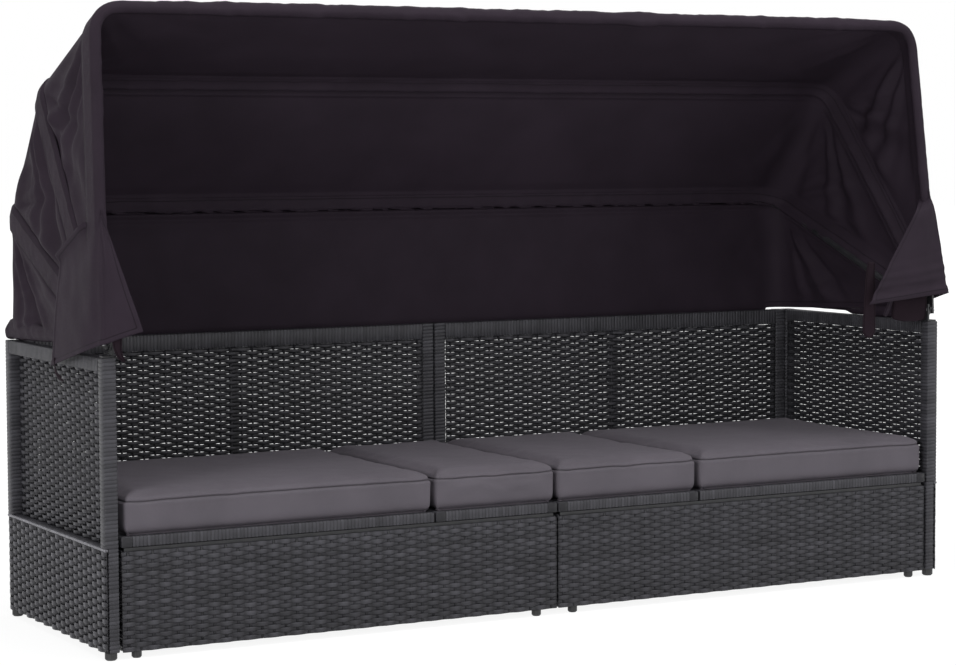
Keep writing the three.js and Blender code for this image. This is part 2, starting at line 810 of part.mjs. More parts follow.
// One panel of cloth between two edges, each given as an angle and a reach. It sags and
// folds where it is clear of the tubes.
function clothPanel(name, from, to) {
  const edge = ({ degrees, reach }, shift) => {
    const angle = THREE.MathUtils.degToRad(degrees + shift);
    return new THREE.Vector2(reach * Math.cos(angle), reach * Math.sin(angle));
  };
  const start = edge(from, seamDegrees);
  const end = edge(to, -seamDegrees);
  const width = start.distanceTo(end);
  const near = bowRadius + clothFrontReach;
  const columns = hoopStations(0, start.length()).length - 1;
  const place = (u, v, row) => {
    const w = rowShare(row, near / width);
    const chord = start.clone().lerp(end, w);
    const inset = (1 - v) * clothThickness;
    const station = hoopStations(inset, chord.length() - inset)[Math.round(u * columns)];
    const up = station.y / chord.length();
    const fromTube = Math.min(w, 1 - w) * width * up;
    const free = THREE.MathUtils.smoothstep(fromTube, near, near + clothEase);
    const across = station.x / halfLength;
    const onSide = Math.abs(across) ** sidePower;
    const sideDip = sideSag + sideFold * Math.cos(2 * Math.PI * sideFolds * w);
    const roofDip = roofSag + roofFold * Math.cos(Math.PI * roofFolds * across);
    const inwards = onSide * free * up * sideDip;
    const reach = station.y - (1 - onSide) * free * roofDip;
    const direction = chord.normalize();
    return new THREE.Vector3(
      station.x - Math.sign(station.x) * inwards,
      reach * direction.x,
      reach * direction.y,
    );
  };
  return piece(name, bentBox(columns, 1, clothRows, place), canopyCloth);
}

function overBow({ degrees, reach }) {
  return { degrees, reach: reach + bowRadius + roofGap + clothThickness };
}

function canopyPanels() {
  const lap = THREE.MathUtils.radToDeg(clothFrontReach / bows.front.reach);
  const front = overBow({ degrees: bows.front.degrees + lap, reach: bows.front.reach });
  const hem = { degrees: hemDegrees, reach: hemReach };
  return [
    clothPanel("canopy_back_panel", hem, overBow(bows.rear)),
    clothPanel("canopy_roof_panel", overBow(bows.rear), overBow(bows.middle)),
    clothPanel("canopy_front_panel", overBow(bows.middle), front),
  ];
}

// A skirt that hangs from the front bow round the top of an arm. Its top edge lies against
// the leaning side of the front panel.
function flap(side) {
  const sign = sideSign[side];
  const size = flaps[side];
  const mix = THREE.MathUtils.lerp;
  const turn = flapTurnShare;
  const place = (u, v, down) => {
    const along = sign < 0 ? 1 - u : u;
    const onFront = along < turn;
    const share = onFront ? along / turn : (along - turn) / (1 - turn);
    const topUp = mix(size.frontTopUp, size.tailTopUp, along);
    const bottomUp = onFront
      ? mix(size.frontBottomUp, size.cornerBottomUp, share)
      : mix(size.cornerBottomUp, -size.tailBottomDown, share);
    const topOut = clothGap - leanAt(sign, topUp - pivotHeight);
    const cornerX = sign * (halfLength + mix(topOut, size.cornerBottomOut, down));
    const cornerY = frontY + mix(size.cornerTopBack, -size.cornerBottomAhead, down);
    const frontX = cornerX - sign * mix(size.frontTopIn, size.frontBottomIn, down);
    const tailY = frontY + mix(size.tailTopBack, size.tailBottomBack, down);
    const fold = flapFold * down * Math.sin(Math.PI * flapFolds * along);
    const out = v * flapThickness + Math.abs(fold);
    const z = armHeight + mix(topUp, bottomUp, down);
    if (onFront) return new THREE.Vector3(mix(frontX, cornerX, share), cornerY - out, z);
    return new THREE.Vector3(cornerX + sign * out, mix(cornerY, tailY, share), z);
  };
  return piece(`canopy_flap_${side}`, bentBox(flapColumns, 1, flapRows, place), canopyCloth);
}

function canopy() {
  const turning = new THREE.Group();
  turning.position.set(0, pivotY, pivotZ);
  turning.add(bow("front", bowPlane, 0, longLug), bow("middle", bowPlane, 1, longLug));
  turning.add(bow("rear", rearBowPlane, 2, shortLug), ...canopyPanels());
  for (const side of ["left", "right"]) turning.add(bracket(side), pivotBolt(side));
  return turning;
}

const daybed = new THREE.Group();
for (const side of ["left", "right"]) {
  daybed.add(...arm(side), backFrame(side), backWeave(side), ...frameGlides(side));
  daybed.add(bench(side), flap(side));
}
daybed.add(canopy());

export default daybed;
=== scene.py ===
"""Looks of an outdoor daybed with a folding canopy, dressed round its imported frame.

Woven panels and wrapped bars of flat charcoal cane, four box cushions, and a dark
canopy of cloth on three steel bows. Metres; X along the seat, Y to the back, Z up.
"""

import json
import math

import bmesh
import bpy
import numpy as np
from mathutils import Matrix, Vector
from mathutils.noise import noise


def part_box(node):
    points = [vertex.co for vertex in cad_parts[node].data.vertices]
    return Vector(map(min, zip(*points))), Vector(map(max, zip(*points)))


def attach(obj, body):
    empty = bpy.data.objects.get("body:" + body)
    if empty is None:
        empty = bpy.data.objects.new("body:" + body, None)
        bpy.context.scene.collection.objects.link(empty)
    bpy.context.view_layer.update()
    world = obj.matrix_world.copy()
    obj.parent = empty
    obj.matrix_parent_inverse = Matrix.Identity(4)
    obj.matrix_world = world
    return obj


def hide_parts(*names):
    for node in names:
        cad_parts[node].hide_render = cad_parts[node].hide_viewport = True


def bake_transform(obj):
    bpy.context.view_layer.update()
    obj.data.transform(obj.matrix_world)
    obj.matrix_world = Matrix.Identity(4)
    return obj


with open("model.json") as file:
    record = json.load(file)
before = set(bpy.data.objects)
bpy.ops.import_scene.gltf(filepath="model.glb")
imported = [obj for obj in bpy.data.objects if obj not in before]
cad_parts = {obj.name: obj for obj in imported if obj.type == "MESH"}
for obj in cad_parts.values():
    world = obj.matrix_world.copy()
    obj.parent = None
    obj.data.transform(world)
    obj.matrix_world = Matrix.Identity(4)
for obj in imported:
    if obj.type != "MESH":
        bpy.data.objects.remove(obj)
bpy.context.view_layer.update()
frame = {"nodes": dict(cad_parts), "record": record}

bl_info = {
    "name": "Canopy Daybed",
    "version": (1, 0, 0),
    "blender": (4, 5, 0),
    "location": "View3D > Sidebar > Daybed",
    "description": "Builds the cane, cushions, canopy and studio of an outdoor daybed",
    "category": "Add Mesh",
}

SIDES = {"left": -1, "right": 1}
CANE, CUSHION, CANOPY = "cane", "cushion_fabric", "canopy_fabric"
FINISH_OF_SLOT = {
    CANE: "Charcoal Cane", "black_steel": "Black Powder Coat", "zinc_steel": "Zinc Plate",
    "glide_plastic": "Moulded Black Plastic", CUSHION: "Cushion Cover", CANOPY: "Canopy Cloth",
}
BODY_OF = {node: body for body, nodes in frame["record"]["behaviour"]["bodies"].items()
           for node in nodes}
GAP = 0.0003  # between a wrapped bar and the panel that it frames


# Settings

def length(name, value, text):
    return bpy.props.FloatProperty(name=name, description=text, default=value, min=0,
                                   unit="LENGTH", precision=5)


def colour(name, value, text):
    return bpy.props.FloatVectorProperty(name=name, description=text, default=value, size=3,
                                         min=0, max=1, subtype="COLOR")


class CaneSettings(bpy.types.PropertyGroup):
    """Flat synthetic cane, woven into panels and wound round bars"""
    strand_pitch: length("Strand Pitch", 0.008, "Height of one row of the weave")
    strand_width: length("Strand Width", 0.0077, "Width of a flat horizontal strand")
    strand_thickness: length("Strand Thickness", 0.0015, "Thickness of a strand")
    warp_pitch: length("Upright Pitch", 0.0251, "Distance between two upright strands")
    side_warp_pitch: length("Side Upright Pitch", 0.0262, "Distance of uprights on the sides")
    warp_width: length("Upright Width", 0.0052, "Width of an upright strand")
    wave: length("Wave", 0.0029, "How far a strand swings to either side of the uprights")
    settle: length("Settle", 0.0005, "How far an open weave's strands drop in front")
    wrap_pitch: length("Wrap Pitch", 0.0078, "Distance between two turns round a bar")
    tint: colour("Cane Colour", (0.044, 0.043, 0.049), "Colour of the cane")


class CushionSettings(bpy.types.PropertyGroup):
    """Box cushions in a dark grey cover"""
    swell: length("Swell", 0.009, "How far the filling may push the cover out")
    seam_drop: length("Seam Drop", 0.011, "How far the top seam lies below the crown's edge")
    tint: colour("Cover Colour", (0.095, 0.084, 0.099), "Colour of the cushion covers")


class CanopySettings(bpy.types.PropertyGroup):
    """Cloth of the canopy and its three bows"""
    cloth: length("Cloth Thickness", 0.0012, "Thickness of the canopy cloth")
    pocket: length("Pocket Width", 0.050, "Width of the pocket that holds a bow")
    sag: length("Roof Sag", 0.006, "How far the roof sags between two bows")
    fold: length("Side Folds", 0.020, "Depth of the soft folds on the canopy's sides")
    tuck: length("Pocket Tuck", 0.014, "How far a pocket reaches behind its bow on the inside")
    overlap: length("Back Overlap", 0.045, "How far the back panel hangs down behind the backs")
    tint: colour("Cloth Colour", (0.0258, 0.0186, 0.0266), "Colour of the canopy cloth")
    tape: colour("Tape Colour", (0.016, 0.010, 0.014), "Colour of the ties and tails")


class StudioSettings(bpy.types.PropertyGroup):
    """Floor, lamps and camera"""
    lens: bpy.props.FloatProperty(name="Lens", description="Focal length of the camera",
                                  default=96.82, min=1, unit="CAMERA")
    key: bpy.props.FloatProperty(name="Key Light", description="Power that the lamps share",
                                 default=72, min=0, unit="POWER")
    fill: bpy.props.FloatProperty(name="Fill Light", description="Strength of the surroundings",
                                  default=0.24, min=0)
    floor: colour("Floor Colour", (0.9, 0.9, 0.9), "Colour of the studio floor")


# Helpers for meshes

def new_object(name, data):
    piece = bpy.data.objects.new(name, data)
    bpy.context.scene.collection.objects.link(piece)
    return piece


def mesh_from(name, points, faces, smooth=True):
    mesh = bpy.data.meshes.new(name)
    mesh.from_pydata([tuple(p) for p in points], [], faces)
    mesh.update()
    if smooth:
        mesh.polygons.foreach_set("use_smooth", [True] * len(mesh.polygons))
    return mesh


def coat(piece, material):
    piece.data.materials.clear()
    piece.data.materials.append(material)


def place(piece, body, material, replaces=()):
    """Finishes a piece: its material, its body and what it stands for."""
    if material:
        coat(piece, material)
    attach(piece, body)
    if replaces:
        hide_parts(*replaces)
    return piece


# Helpers for node trees

class Tree:
    """Builds the nodes of one tree, with links by value."""

    def __init__(self, tree):
        self.tree = tree

    def add(self, kind, inputs=None, **settings):
        node = self.tree.nodes.new(kind)
        for key, value in settings.items():
            setattr(node, key, value)
        for key, value in (inputs or {}).items():
            self.feed(node.inputs[key], value)
        return node

    def feed(self, socket, value):
        if isinstance(value, bpy.types.NodeSocket):
            self.tree.links.new(value, socket)
        elif value is not None:
            socket.default_value = value

    def maths(self, operation, *values, kind="ShaderNodeMath", **settings):
        return self.add(kind, dict(enumerate(values)), operation=operation, **settings).outputs[0]

    def times(self, a, b):
        return self.maths("MULTIPLY", a, b)

    def over(self, a, b):
        return self.maths("DIVIDE", a, b)

    def minus(self, a, b, **settings):
        return self.maths("SUBTRACT", a, b, **settings)

    def times_plus(self, a, b, c):
        return self.maths("MULTIPLY_ADD", a, b, c)

    def vector(self, operation, *values):
        return self.maths(operation, *values, kind="ShaderNodeVectorMath")

    def scaled(self, vector, factor):
        return self.add("ShaderNodeVectorMath", {0: vector, "Scale": factor},
                        operation="SCALE").outputs[0]

    def remap(self, value, low, high, start=0.0, end=1.0, **settings):
        return self.add("ShaderNodeMapRange", {
            "Value": value, "From Min": start, "From Max": end, "To Min": low, "To Max": high,
        }, **settings).outputs[0]

    def axes(self, value):
        return self.add("ShaderNodeSeparateXYZ", {0: value}).outputs

    def point(self, x=None, y=None, z=None):
        return self.add("ShaderNodeCombineXYZ", {0: x, 1: y, 2: z}).outputs[0]

    def group(self, name, inputs):
        return self.add("ShaderNodeGroup", inputs, node_tree=bpy.data.node_groups[name]).outputs

    def shape(self, kind, geometry, inputs=None, **settings):
        return self.add(f"GeometryNode{kind}", {"Geometry": geometry, **(inputs or {})},
                        **settings).outputs[0]


def group_tree(name, kind, inputs, outputs):
    """A node group with named sockets. Returns the tree, its inputs and its output's sockets."""
    tree = bpy.data.node_groups.new(name, kind)
    for socket, (form, value) in inputs.items():
        made = tree.interface.new_socket(name=socket, in_out="INPUT",
                                         socket_type=f"NodeSocket{form}")
        if value is not None:
            made.default_value = value
    for socket, form in outputs.items():
        tree.interface.new_socket(name=socket, in_out="OUTPUT", socket_type=f"NodeSocket{form}")
    source = tree.nodes.new("NodeGroupInput").outputs
    return Tree(tree), source, tree.nodes.new("NodeGroupOutput").inputs


def clear_tree(owner):
    """The emptied node tree of a material or a world."""
    owner.use_nodes = True
    owner.node_tree.nodes.clear()
    return Tree(owner.node_tree)


# Studio. Each lamp has its place, its aim, its width and height, and its share of the power.

LAMPS = {
    "top": ((0.2, -1.0, 4.2), (0, 0, 0.4), 5.0, 3.4, 2.1),
    "front": ((-0.6, -6.0, 2.2), (0, 0, 0.5), 4.0, 2.6, 0.36),
    "left": ((-5.0, -2.9, 1.6), (-0.9, 0, 0.4), 2.2, 1.6, 1.45),
    "right": ((3.6, -3.0, 1.5), (0.6, 0, 0.3), 1.6, 1.2, 0.4),
}
CAMERA_AT = (-2.7109, -4.861, 0.9681)
CAMERA_DEGREES = (28.77, 4.02, -0.25)  # azimuth, pitch downwards and roll
FLOOR_HALF = 30
FLOOR_FADE = (1.5, 2.6)  # distances from the middle where the floor turns into plain white
WHITE = (1, 1, 1, 1)


class DAYBED_OT_studio(bpy.types.Operator):
    """Makes the floor, the lamps, the surroundings and the camera"""
    bl_idname = "daybed.studio"
    bl_label = "Studio"

    def execute(self, context):
        look = context.scene.daybed_studio
        scene = context.scene
        scene.view_settings.view_transform = "Standard"
        corners = [(x * FLOOR_HALF, y * FLOOR_HALF, 0)
                   for x, y in ((-1, -1), (1, -1), (1, 1), (-1, 1))]
        floor = new_object("studio_floor",
                           mesh_from("studio_floor", corners, [(0, 1, 2, 3)], False))
        coat(floor, floor_material(look.floor))
        scene.world = surroundings(look.fill)
        for name, (at, towards, wide, high, power) in LAMPS.items():
            data = bpy.data.lights.new(f"studio_{name}", "AREA")
            data.shape, data.size, data.size_y = "RECTANGLE", wide, high
            data.energy = look.key * power
            lamp = new_object(f"studio_{name}", data)
            lamp.location = at
            aim = Vector(towards) - Vector(at)
            lamp.rotation_euler = aim.to_track_quat("-Z", "Y").to_euler()
        scene.camera = studio_camera(look.lens)
        return {"FINISHED"}


def studio_camera(lens):
    data = bpy.data.cameras.new("studio_camera")
    data.sensor_width, data.lens = 36, lens
    data.clip_start, data.clip_end = 0.1, 200
    camera = new_object("studio_camera", data)
    azimuth, pitch, roll = (math.radians(v) for v in CAMERA_DEGREES)
    forward = Vector((math.sin(azimuth) * math.cos(pitch), math.cos(azimuth) * math.cos(pitch),
                      -math.sin(pitch)))
    right = Vector((math.cos(azimuth), -math.sin(azimuth), 0))
    up = right.cross(forward)
    turned = right * math.cos(roll) + up * math.sin(roll)
    upright = up * math.cos(roll) - right * math.sin(roll)
    axes = Matrix((turned, upright, -forward)).transposed().to_4x4()
    camera.matrix_world = Matrix.Translation(CAMERA_AT) @ axes
    return camera


def seen_directly(t):
    """1 for rays that come from the camera, a reflection or a clear surface."""
    path = t.add("ShaderNodeLightPath").outputs
    seen = t.maths("MAXIMUM", path["Is Camera Ray"], path["Is Glossy Ray"])
    return t.maths("MAXIMUM", seen, path["Is Transmission Ray"])


def mixed(t, share, first, second):
    return t.add("ShaderNodeMixShader", {0: share, 1: first, 2: second}).outputs[0]


def surroundings(strength):
    world = bpy.data.worlds.new("studio_surroundings")
    t = clear_tree(world)
    ambient, backdrop = (
        t.add("ShaderNodeBackground", {"Color": tint, "Strength": power}).outputs[0]
        for tint, power in (((0.95, 0.97, 1, 1), strength), (WHITE, 1.0)))
    t.add("ShaderNodeOutputWorld", {"Surface": mixed(t, seen_directly(t), ambient, backdrop)})
    return world


def floor_material(tint):
    material = bpy.data.materials.new("studio_floor")
    t = clear_tree(material)
    matt = t.add("ShaderNodeBsdfDiffuse", {"Color": (*tint, 1)}).outputs[0]
    glow = t.add("ShaderNodeEmission", {"Color": WHITE, "Strength": 1.12}).outputs[0]
    where = t.add("ShaderNodeTexCoord").outputs["Object"]
    far = t.add("ShaderNodeVectorMath", {0: where}, operation="LENGTH").outputs["Value"]
    sheet = mixed(t, t.remap(far, 0.80, 1.0, *FLOOR_FADE), matt, glow)
    t.add("ShaderNodeOutputMaterial", {"Surface": mixed(t, seen_directly(t), matt, sheet)})
    return material


# Materials

def principled(name, scale, fine_scale, **sockets):
    """A material, its tree, its shader's inputs and the two masks of the Mottle group."""
    material = bpy.data.materials.new(name)
    t = clear_tree(material)
    shader = t.add("ShaderNodeBsdfPrincipled", {
        key.replace("_", " "): value for key, value in sockets.items()})
    t.add("ShaderNodeOutputMaterial", {"Surface": shader.outputs[0]})
    masks = t.group("Mottle", {"Position": t.add("ShaderNodeTexCoord").outputs["Object"],
                               "Scale": scale, "Fine Scale": fine_scale})
    return material, t, shader.inputs, masks


def span(t, mask, low, high):
    """A value from low to high, chosen by one of the masks."""
    return t.remap(mask, low, high, 0.3, 0.7)


def attribute(t, name):
    return t.add("ShaderNodeAttribute", attribute_name=name).outputs["Fac"]


def bump(t, height, strength, distance, normal=None):
    return t.add("ShaderNodeBump", {"Strength": strength, "Distance": distance,
                                    "Height": height, "Normal": normal}).outputs[0]


def mottle_group():
    """Slow and fast variation over a surface, as two masks round 0.5."""
    t, given, out = group_tree("Mottle", "ShaderNodeTree", {
        "Position": ("Vector", None), "Scale": ("Float", 10.0), "Fine Scale": ("Float", 400.0),
    }, {"Broad": "Float", "Fine": "Float"})
    for mask, scale, detail, rough in (("Broad", "Scale", 3.0, 0.6),
                                       ("Fine", "Fine Scale", 2.0, 0.7)):
        cloud = t.add("ShaderNodeTexNoise", {"Vector": given["Position"], "Scale": given[scale],
                                             "Detail": detail, "Roughness": rough})
        t.feed(out[mask], cloud.outputs[0])


def fibre_group():
    """A plain woven cloth, thread over thread, laid out on a pair of surface coordinates."""
    t, given, out = group_tree("Woven Threads", "ShaderNodeTree", {
        "Place": ("Vector", None), "Thread": ("Float", 0.0006),
    }, {"Height": "Float"})
    axes = t.axes(t.scaled(given["Place"], t.over(math.pi, given["Thread"])))
    crossing = t.times(t.maths("SINE", axes[0]), t.maths("SINE", axes[1]))
    t.feed(out["Height"], t.times_plus(crossing, 0.5, 0.5))


def stitch_group():
    """A sewn line: a groove and its stitches, from lengths along the seam and away from it."""
    t, given, out = group_tree("Stitch Line", "ShaderNodeTree", {
        "Place": ("Vector", None), "Width": ("Float", 0.0014), "Stitch": ("Float", 0.004),
    }, {"Line": "Float", "Stitches": "Float"})
    along, away = t.axes(given["Place"])[:2]
    line = t.minus(1.0, t.over(t.maths("ABSOLUTE", away), given["Width"]), use_clamp=True)
    beat = t.maths("SINE", t.over(t.times(along, 2 * math.pi), given["Stitch"]))
    t.feed(out["Line"], line)
    t.feed(out["Stitches"], t.times(line, t.times_plus(beat, 0.5, 0.5)))


# Canes: brightness against the cane's own colour, specular level and roughness. The edge's raised
# brightness is a painted highlight.
CANES = {"Charcoal Cane": (1.0, 0.2, 0.42), "Cane Edge": (3.4, 0.5, 0.24)}
STRAND_TONES = (0.8, 1.22)  # from the darkest strand to the lightest
PAINTED_SHADE_AND_LIGHT_TONES = (0.52, 1.18)  # painted shade in the recesses up to painted light on the crests


def cane_material(name, tint):
    """Extruded flat cane: satin, with painted shade in its recesses and painted light on its
    crests, no two strands quite alike.
    """
    brightness, shine, rough = CANES[name]
    material, t, sockets, masks = principled(name, 22, 900, Specular_IOR_Level=shine)
    own = t.remap(attribute(t, "strand"), *STRAND_TONES)
    # Painted shade in the recesses and painted light on the crests, from the stored crest
    # attribute
    depth = t.remap(t.maths("ABSOLUTE", attribute(t, "crest")), *PAINTED_SHADE_AND_LIGHT_TONES, clamp=False)
    tint = tuple(value * brightness for value in tint)
    base = t.scaled(tint, span(t, masks["Broad"], 0.82, 1.2))
    t.feed(sockets["Base Color"], t.scaled(base, t.times(own, depth)))
    t.feed(sockets["Roughness"], span(t, masks["Fine"], rough - 0.08, rough + 0.08))
    t.feed(sockets["Normal"], bump(t, masks["Fine"], 0.25, 0.0002))
    return material


# Plain finishes: the colour with its mask and range, the roughness with its mask and range,
# the two scales of the mottle, the strength of the bump and how metallic the shader is
PLAIN = {
    "Black Powder Coat": ((0.013, 0.013, 0.015), "Broad", (0.8, 1.5),
                          "Broad", (0.38, 0.55), (35, 1400), 0.3, 0.0),
    "Zinc Plate": ((0.56, 0.56, 0.57), "Broad", (0.75, 1.15),
                   "Fine", (0.22, 0.42), (180, 1600), None, 1.0),
    "Moulded Black Plastic": ((0.012, 0.012, 0.013), "Fine", (0.8, 1.5),
                              "Broad", (0.45, 0.62), (60, 2200), 0.35, 0.0),
}


def plain_material(name):
    tint, tint_mask, tones, rough_mask, rough, scales, relief, metallic = PLAIN[name]
    material, t, sockets, masks = principled(name, *scales, Metallic=metallic)
    t.feed(sockets["Base Color"], t.scaled(tint, span(t, masks[tint_mask], *tones)))
    t.feed(sockets["Roughness"], span(t, masks[rough_mask], *rough))
    if relief:
        t.feed(sockets["Normal"], bump(t, masks["Fine"], relief, 0.0002))
    return material


# Cloths: width of a thread, roughness, sheen, contrast of the threads, darkest and lightest
# tone of the mottle, and specular level
CLOTHS = {
    "Cushion Cover": (0.0007, 0.72, 0.06, 0.14, 0.92, 1.1, 0.3),
    "Canopy Cloth": (0.0005, 0.66, 0.0, 0.1, 0.88, 1.14, 0.07),
    "Dark Tape": (0.0006, 0.8, 0.0, 0.16, 0.8, 1.2, 0.06),
}


def cloth_material(name, tint):
    """Polyester cloth: threads and sewn lines from the piece's own UV maps, with slow wear, and
    painted shade along the sewn lines' grooves.
    """
    thread, rough, sheen, contrast, low, high, shine = CLOTHS[name]
    material, t, sockets, masks = principled(
        name, 7, 260, Specular_IOR_Level=shine, Sheen_Weight=sheen, Sheen_Roughness=0.55,
        Sheen_Tint=(0.9, 0.85, 0.95, 1))
    place_of = {key: t.add("ShaderNodeUVMap", uv_map=key).outputs[0] for key in ("cloth", "seam")}
    threads = t.group("Woven Threads", {"Place": place_of["cloth"], "Thread": thread})["Height"]
    sewn = t.group("Stitch Line", {"Place": place_of["seam"]})
    base = t.scaled(tuple(tint), span(t, masks["Broad"], low, high))
    base = t.scaled(base, t.remap(threads, 1 - contrast, 1 + contrast))
    # Painted shade along each sewn line's groove: the colour is darkened by up to 70 percent
    t.feed(sockets["Base Color"], t.scaled(base, t.times_plus(sewn["Line"], -0.7, 1.0)))
    t.feed(sockets["Roughness"], span(t, masks["Fine"], rough - 0.05, rough + 0.05))
    woven_in = bump(t, threads, 0.35, 0.00025)
    groove = t.minus(sewn["Stitches"], sewn["Line"])
    t.feed(sockets["Normal"], bump(t, groove, 0.6, 0.0008, woven_in))
    return material


def finish(name):
    """The named finish, made when it is first asked for."""
    scene = bpy.context.scene
    if name in bpy.data.materials:
        return bpy.data.materials[name]
    if name in PLAIN:
        return plain_material(name)
    if name in CANES:
        return cane_material(name, scene.daybed_cane.tint)
    tints = {"Cushion Cover": scene.daybed_cushions.tint,
             "Canopy Cloth": scene.daybed_canopy.tint, "Dark Tape": scene.daybed_canopy.tape}
    return cloth_material(name, tints[name])


class DAYBED_OT_finishes(bpy.types.Operator):
    """Makes the shared effects and gives every CAD node its finish"""
    bl_idname = "daybed.finishes"
    bl_label = "Finishes"

    def execute(self, context):
        mottle_group()
        fibre_group()
        stitch_group()
        for row in frame["record"]["subparts"]:
            coat(frame["nodes"][row["node"]], finish(FINISH_OF_SLOT[row["material_slot"]]))
        return {"FINISHED"}


# Woven panels and wrapped bars

def modifier_mesh(name, tree, sizes, turn, at):
    """Evaluates a node tree with these sizes and puts its plain mesh in its place."""
    carrier = new_object(name, bpy.data.meshes.new(name))
    nodes = carrier.modifiers.new("Shape", "NODES")
    nodes.node_group = tree
    for item in tree.interface.items_tree:
        if item.in_out == "INPUT" and item.name in sizes:
            nodes[item.identifier] = sizes[item.name]
    graph = bpy.context.evaluated_depsgraph_get()
    mesh = bpy.data.meshes.new_from_object(carrier.evaluated_get(graph))
    bpy.data.objects.remove(carrier)
    mesh.name = name
    mesh.transform(Matrix.Translation(at) @ turn)
    return mesh


def joined(name, meshes):
    """One object out of several meshes, with their attributes."""
    pieces = [new_object(f"{name}_{index}", mesh) for index, mesh in enumerate(meshes)]
    with bpy.context.temp_override(active_object=pieces[0], object=pieces[0],
                                   selected_editable_objects=pieces, selected_objects=pieces):
        bpy.ops.object.join()
    pieces[0].name = pieces[0].data.name = name
    return pieces[0]


def strip_mesh(t, sides, segments, depth):
    return t.add("GeometryNodeMeshCylinder", {
        "Vertices": sides, "Side Segments": segments, "Radius": 1.0, "Depth": depth},
        fill_type="NGON").outputs["Mesh"]


def chance(t, low, high, seed, kind="FLOAT", key=None):
    node = t.add("FunctionNodeRandomValue", {"Seed": seed}, data_type=kind)
    ends = [s for s in node.inputs if s.enabled and s.name in ("Min", "Max")]
    ends[0].default_value, ends[1].default_value = low, high
    t.feed(node.inputs["ID"], key)
    return next(s for s in node.outputs if s.enabled)


def stored(t, shape, name, value, domain):
    node = t.add("GeometryNodeStoreNamedAttribute", {"Geometry": shape, "Name": name},
                 data_type="FLOAT", domain=domain)
    t.feed(next(s for s in node.inputs if s.enabled and s.name == "Value"), value)
    return node.outputs[0]


def close_tree(t, shape, where, given, out, detail, drift):
    """Makes a shape plain, lets it drift a little, smooths it and gives it its material."""
    cloud = t.add("ShaderNodeTexNoise", {"Vector": where, "Scale": 30.0, "Detail": detail})
    offset = t.vector("SUBTRACT", cloud.outputs["Color"], (0.5, 0.5, 0.5))
    shape = t.shape("RealizeInstances", shape)
    shape = t.shape("SetPosition", shape, {"Offset": t.vector("MULTIPLY", offset, drift)})
    shape = t.shape("SetShadeSmooth", shape)
    t.feed(out["Geometry"], t.shape("SetMaterial", shape, {"Material": given["Material"]}))


STRAND_SIDES = 6
SEGMENTS = 4  # of a strand between two uprights, and of a bar's skin in one turn
ROW_NUDGE = Vector((0.0004, 0.0001, 0.00014))  # how far a strand may lie off its place
WEAVE_DRIFT, WRAP_DRIFT = (0.0010, 0.0010, 0.0014), (0.0005, 0.0005, 0.0012)
GROOVE_SHARPNESS = 4.0  # how narrow the groove is between two turns
TURN_BULGE = 0.13  # how far a turn's points crowd towards its grooves
PLAIN_END = 0.002  # at each end of a bar, where the turns don't lean


def evenly(t, size, pitch):
    """How many times a pitch fits into a size, and the exact pitch."""
    count = t.maths("ROUND", t.over(size, pitch))
    return count, t.over(size, count)


def on_line(t, count, pitch, axis, instance, **settings):
    """Instances along an axis, the first one half a pitch in."""
    places = [t.point(**{axis: value}) for value in (t.times(pitch, 0.5), pitch)]
    line = t.add("GeometryNodeMeshLine", {"Count": count, "Start Location": places[0],
                                          "Offset": places[1]}).outputs[0]
    inputs = {key.replace("_", " "): value for key, value in settings.items()}
    return t.add("GeometryNodeInstanceOnPoints", {
        "Points": line, "Instance": instance, **inputs}).outputs[0]


